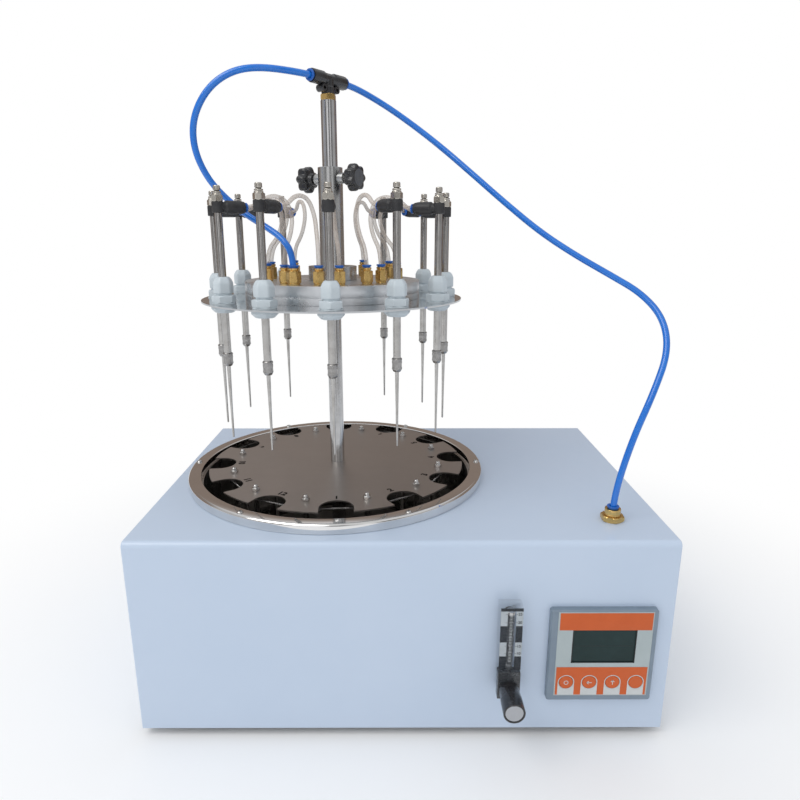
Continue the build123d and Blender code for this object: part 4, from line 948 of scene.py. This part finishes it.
seat_parts = [turned(softened(((0, 72.5), (4.4, 72.5), (4.4, 75.0), (2.0, 75.2), (0, 75.2)), 0.4), 32),
              turned(softened(((0, 136.0), (4.4, 136.0), (4.4, 133.0), (0, 133.0)), 0.4), 32)]
piece("meter_seats", set_at(seat_parts, meter_tube_place), "cabinet", bright_steel)
float_rows = ((0, 75.35), (0.8, 75.35), (3.0, 79.3), (3.0, 83.3), (1.4, 83.3), (0, 82.6))
float_body = turned(softened(float_rows, 0.3), 36)
piece("meter_float", [placed(float_body, meter_tube_place)], "flow_float", polished_face,
      ["rotameter_float"])
knob_place = front_place(meter_x, knob_z)
knob_side = softened(((0, 15.3), (8.2, 15.3), (8.9, 16.2), (9.0, 24.0), (9.4, 30.0), (9.4, 45.0), (7.9, 45.0),
                      (7.9, 44.1), (0, 44.1)), 0.6)
piece("flow_knob_body", [placed(turned(knob_side, 72), knob_place)], "flow_knob", black_gloss,
      ["rotameter_knob"])
knob_disc = turned(softened(((7.8, 44.05), (7.8, 44.5), (7.2, 44.75), (0, 44.35)), 0.25), 64)
piece("flow_knob_face", [placed(knob_disc, knob_place)], "flow_knob", polished_face)

# Temperature controller. A moulded blue-grey frame on the panel around a printed face with two orange bands,
# a dark display behind its window, and four round keys in bright arches. A near-black strip along the face's
# left side is painted shade.
face_place = front_place(178.2, 90.2, 6.0)
frame_plastic = finish_of("frame moulding", (0.2, 0.255, 0.315), 0.38)
marked(frame_plastic, (0.16, 0.205, 0.26), 0.5, 50, 0.1)
grained(frame_plastic, 2000, 0.16)
face_silver = finish_of("face silver", (0.42, 0.48, 0.49), 0.4, 0.25)
marked(face_silver, (0.38, 0.44, 0.45), 0.5, 60, 0.08)
grained(face_silver, 1600, 0.08)
orange = finish_of("orange print", (0.58, 0.1, 0.012), 0.42)
marked(orange, (0.52, 0.085, 0.01), 0.5, 60, 0.08)
grained(orange, 1800, 0.1)
display_glass = finish_of("display glass", (0.01, 0.026, 0.026), 0.2, Specular_IOR_Level=0.25)
marked(display_glass, (0.018, 0.042, 0.042), 0.7, 18, 0.04)
# Near-black material for the printed border round the display's window, also used for the painted shade on
# the face's left side.
mask_and_painted_shade = finish_of("mask and painted shade", (0.004, 0.007, 0.008), 0.15)
marked(mask_and_painted_shade, (0.01, 0.012, 0.012), 0.4, 60, 0.05)
finished("controller_case", frame_plastic)
finished("controller_face", face_silver)
finished("display_window", display_glass)
face_w, face_h = 83.5, 84.8
window_w, window_h, window_up = 55.5, 33.5, 8.7
key_r, key_pitch, key_below = 6.3, 20.8, 28.5
arch_r, arch_inner_r = 7.35, 6.6
band_h, foot_band_h = 17.0, 28.6
band_t, arch_z = 0.12, 0.16
face_foot = 0.9 - face_h / 2
key_xs = [(k - 1.5) * key_pitch for k in range(4)]
top_band = placed(rounded_slab(face_w - 2.4, band_h, 0, band_t, 0.4, 0.04),
                  shift(0.4, -face_foot - band_h / 2, 0))


def key_arc(x, r, *degrees):
    """Points round the key at x, over a range of degrees."""
    return [(x + r * math.cos(a), r * math.sin(a) - key_below) for a in map(math.radians, range(*degrees))]


def strips(rows, z):
    """Flat strips at height z, each between two rows of points."""
    verts, faces = [], []
    for first, second in rows:
        base, count = len(verts), len(first)
        verts += [(x, y, z) for x, y in (*first, *second)]
        faces += [[n, n + 1, n + count + 1, n + count] for n in range(base, base + count - 1)]
    return verts, faces


def band_with_holes():
    """Lower orange band, cut out round the arches of the keys."""
    high = face_foot + foot_band_h
    half = face_w / 2 - 1.2
    arcs = [key_arc(x, arch_r, 180, -1, -6) for x in key_xs]
    gaps = [-half] + [x + side * arch_r for x in key_xs for side in (-1, 1)] + [half]
    return strips([(arc, [(x, high) for x, _ in arc]) for arc in arcs]
                  + [([(x0, face_foot), (x1, face_foot)], [(x0, high), (x1, high)])
                     for x0, x1 in zip(gaps[::2], gaps[1::2])], band_t)


piece("face_bands", set_at((top_band, band_with_holes()), face_place), "cabinet", orange)
arch_parts = []
for x in key_xs:
    foot_line = [(x + arch_r * (n / 15 - 1), face_foot) for n in range(31)]
    verts, faces = strips(((key_arc(x, arch_r, 0, 181, 6), key_arc(x, arch_inner_r, 0, 181, 6)),
                           (key_arc(x, arch_inner_r, 180, 361, 6), foot_line)), arch_z)
    for side in (-1, 1):
        faces.append([len(verts) + n for n in range(3)])
        verts += [(x + side * arch_inner_r, -key_below, arch_z), (x + side * arch_r, -key_below, arch_z),
                  (x + side * arch_r, face_foot, arch_z)]
    arch_parts.append((verts, faces))
piece("key_arches", set_at(arch_parts, face_place), "cabinet", label_white)
window_place = face_place @ shift(0, window_up, 0)
mask = [tile(window_w + 1.0, 0.9, y=side * (window_h / 2), z=-0.05, t=0.16) for side in (-1, 1)]
mask += [tile(0.9, window_h + 1.0, x=side * (window_w / 2), z=-0.05, t=0.16) for side in (-1, 1)]
mask.append(tile(window_w - 3, 0.28, y=-0.4, z=-0.62, t=0.05))
piece("display_mask", set_at(mask, window_place), "cabinet", mask_and_painted_shade)
# Painted shade: a thin near-black strip on the left side wall of the raised face, standing in for the shadow
# that falls there.
face_side_painted_shade = placed(tile(0.9, face_h - 1.0, x=-face_w / 2 - 0.45, z=-2.4, t=2.35), face_place)
piece("face_side_painted_shade", [face_side_painted_shade], "cabinet", mask_and_painted_shade)
key_cap = turned(softened(((0, 0.62), (3.8, 0.72), (5.7, 0.9), (key_r, 0.4), (key_r, -1.5)), 0.3), 56)


def arrow(turn):
    """Arrow with an open head, in a stroke of even width."""
    strokes = [tile(4.4, 0.62, z=0)]
    for side in (-1, 1):
        strokes.append(placed(tile(2.7, 0.62, x=0.95), shift(-2.3, 0, 0), spin("Z", side * 42)))
    return set_at(strokes, spin("Z", turn))


plain_ring = turned(((1.5, 0.0), (1.5, 0.08), (2.1, 0.08), (2.1, 0.0)), 32, closed=True)
for k, signs in enumerate(([plain_ring], arrow(0), arrow(-90), [])):
    spot = face_place @ shift(key_xs[k], -key_below, 0)
    body = f"key_{k + 1}_body"
    piece(f"key_{k + 1}_cap", [placed(key_cap, spot)], body, orange, [f"key_{k + 1}"])
    if signs:
        piece(f"key_{k + 1}_sign", set_at(signs, spot, shift(0, 0, 0.66)), body, label_white)
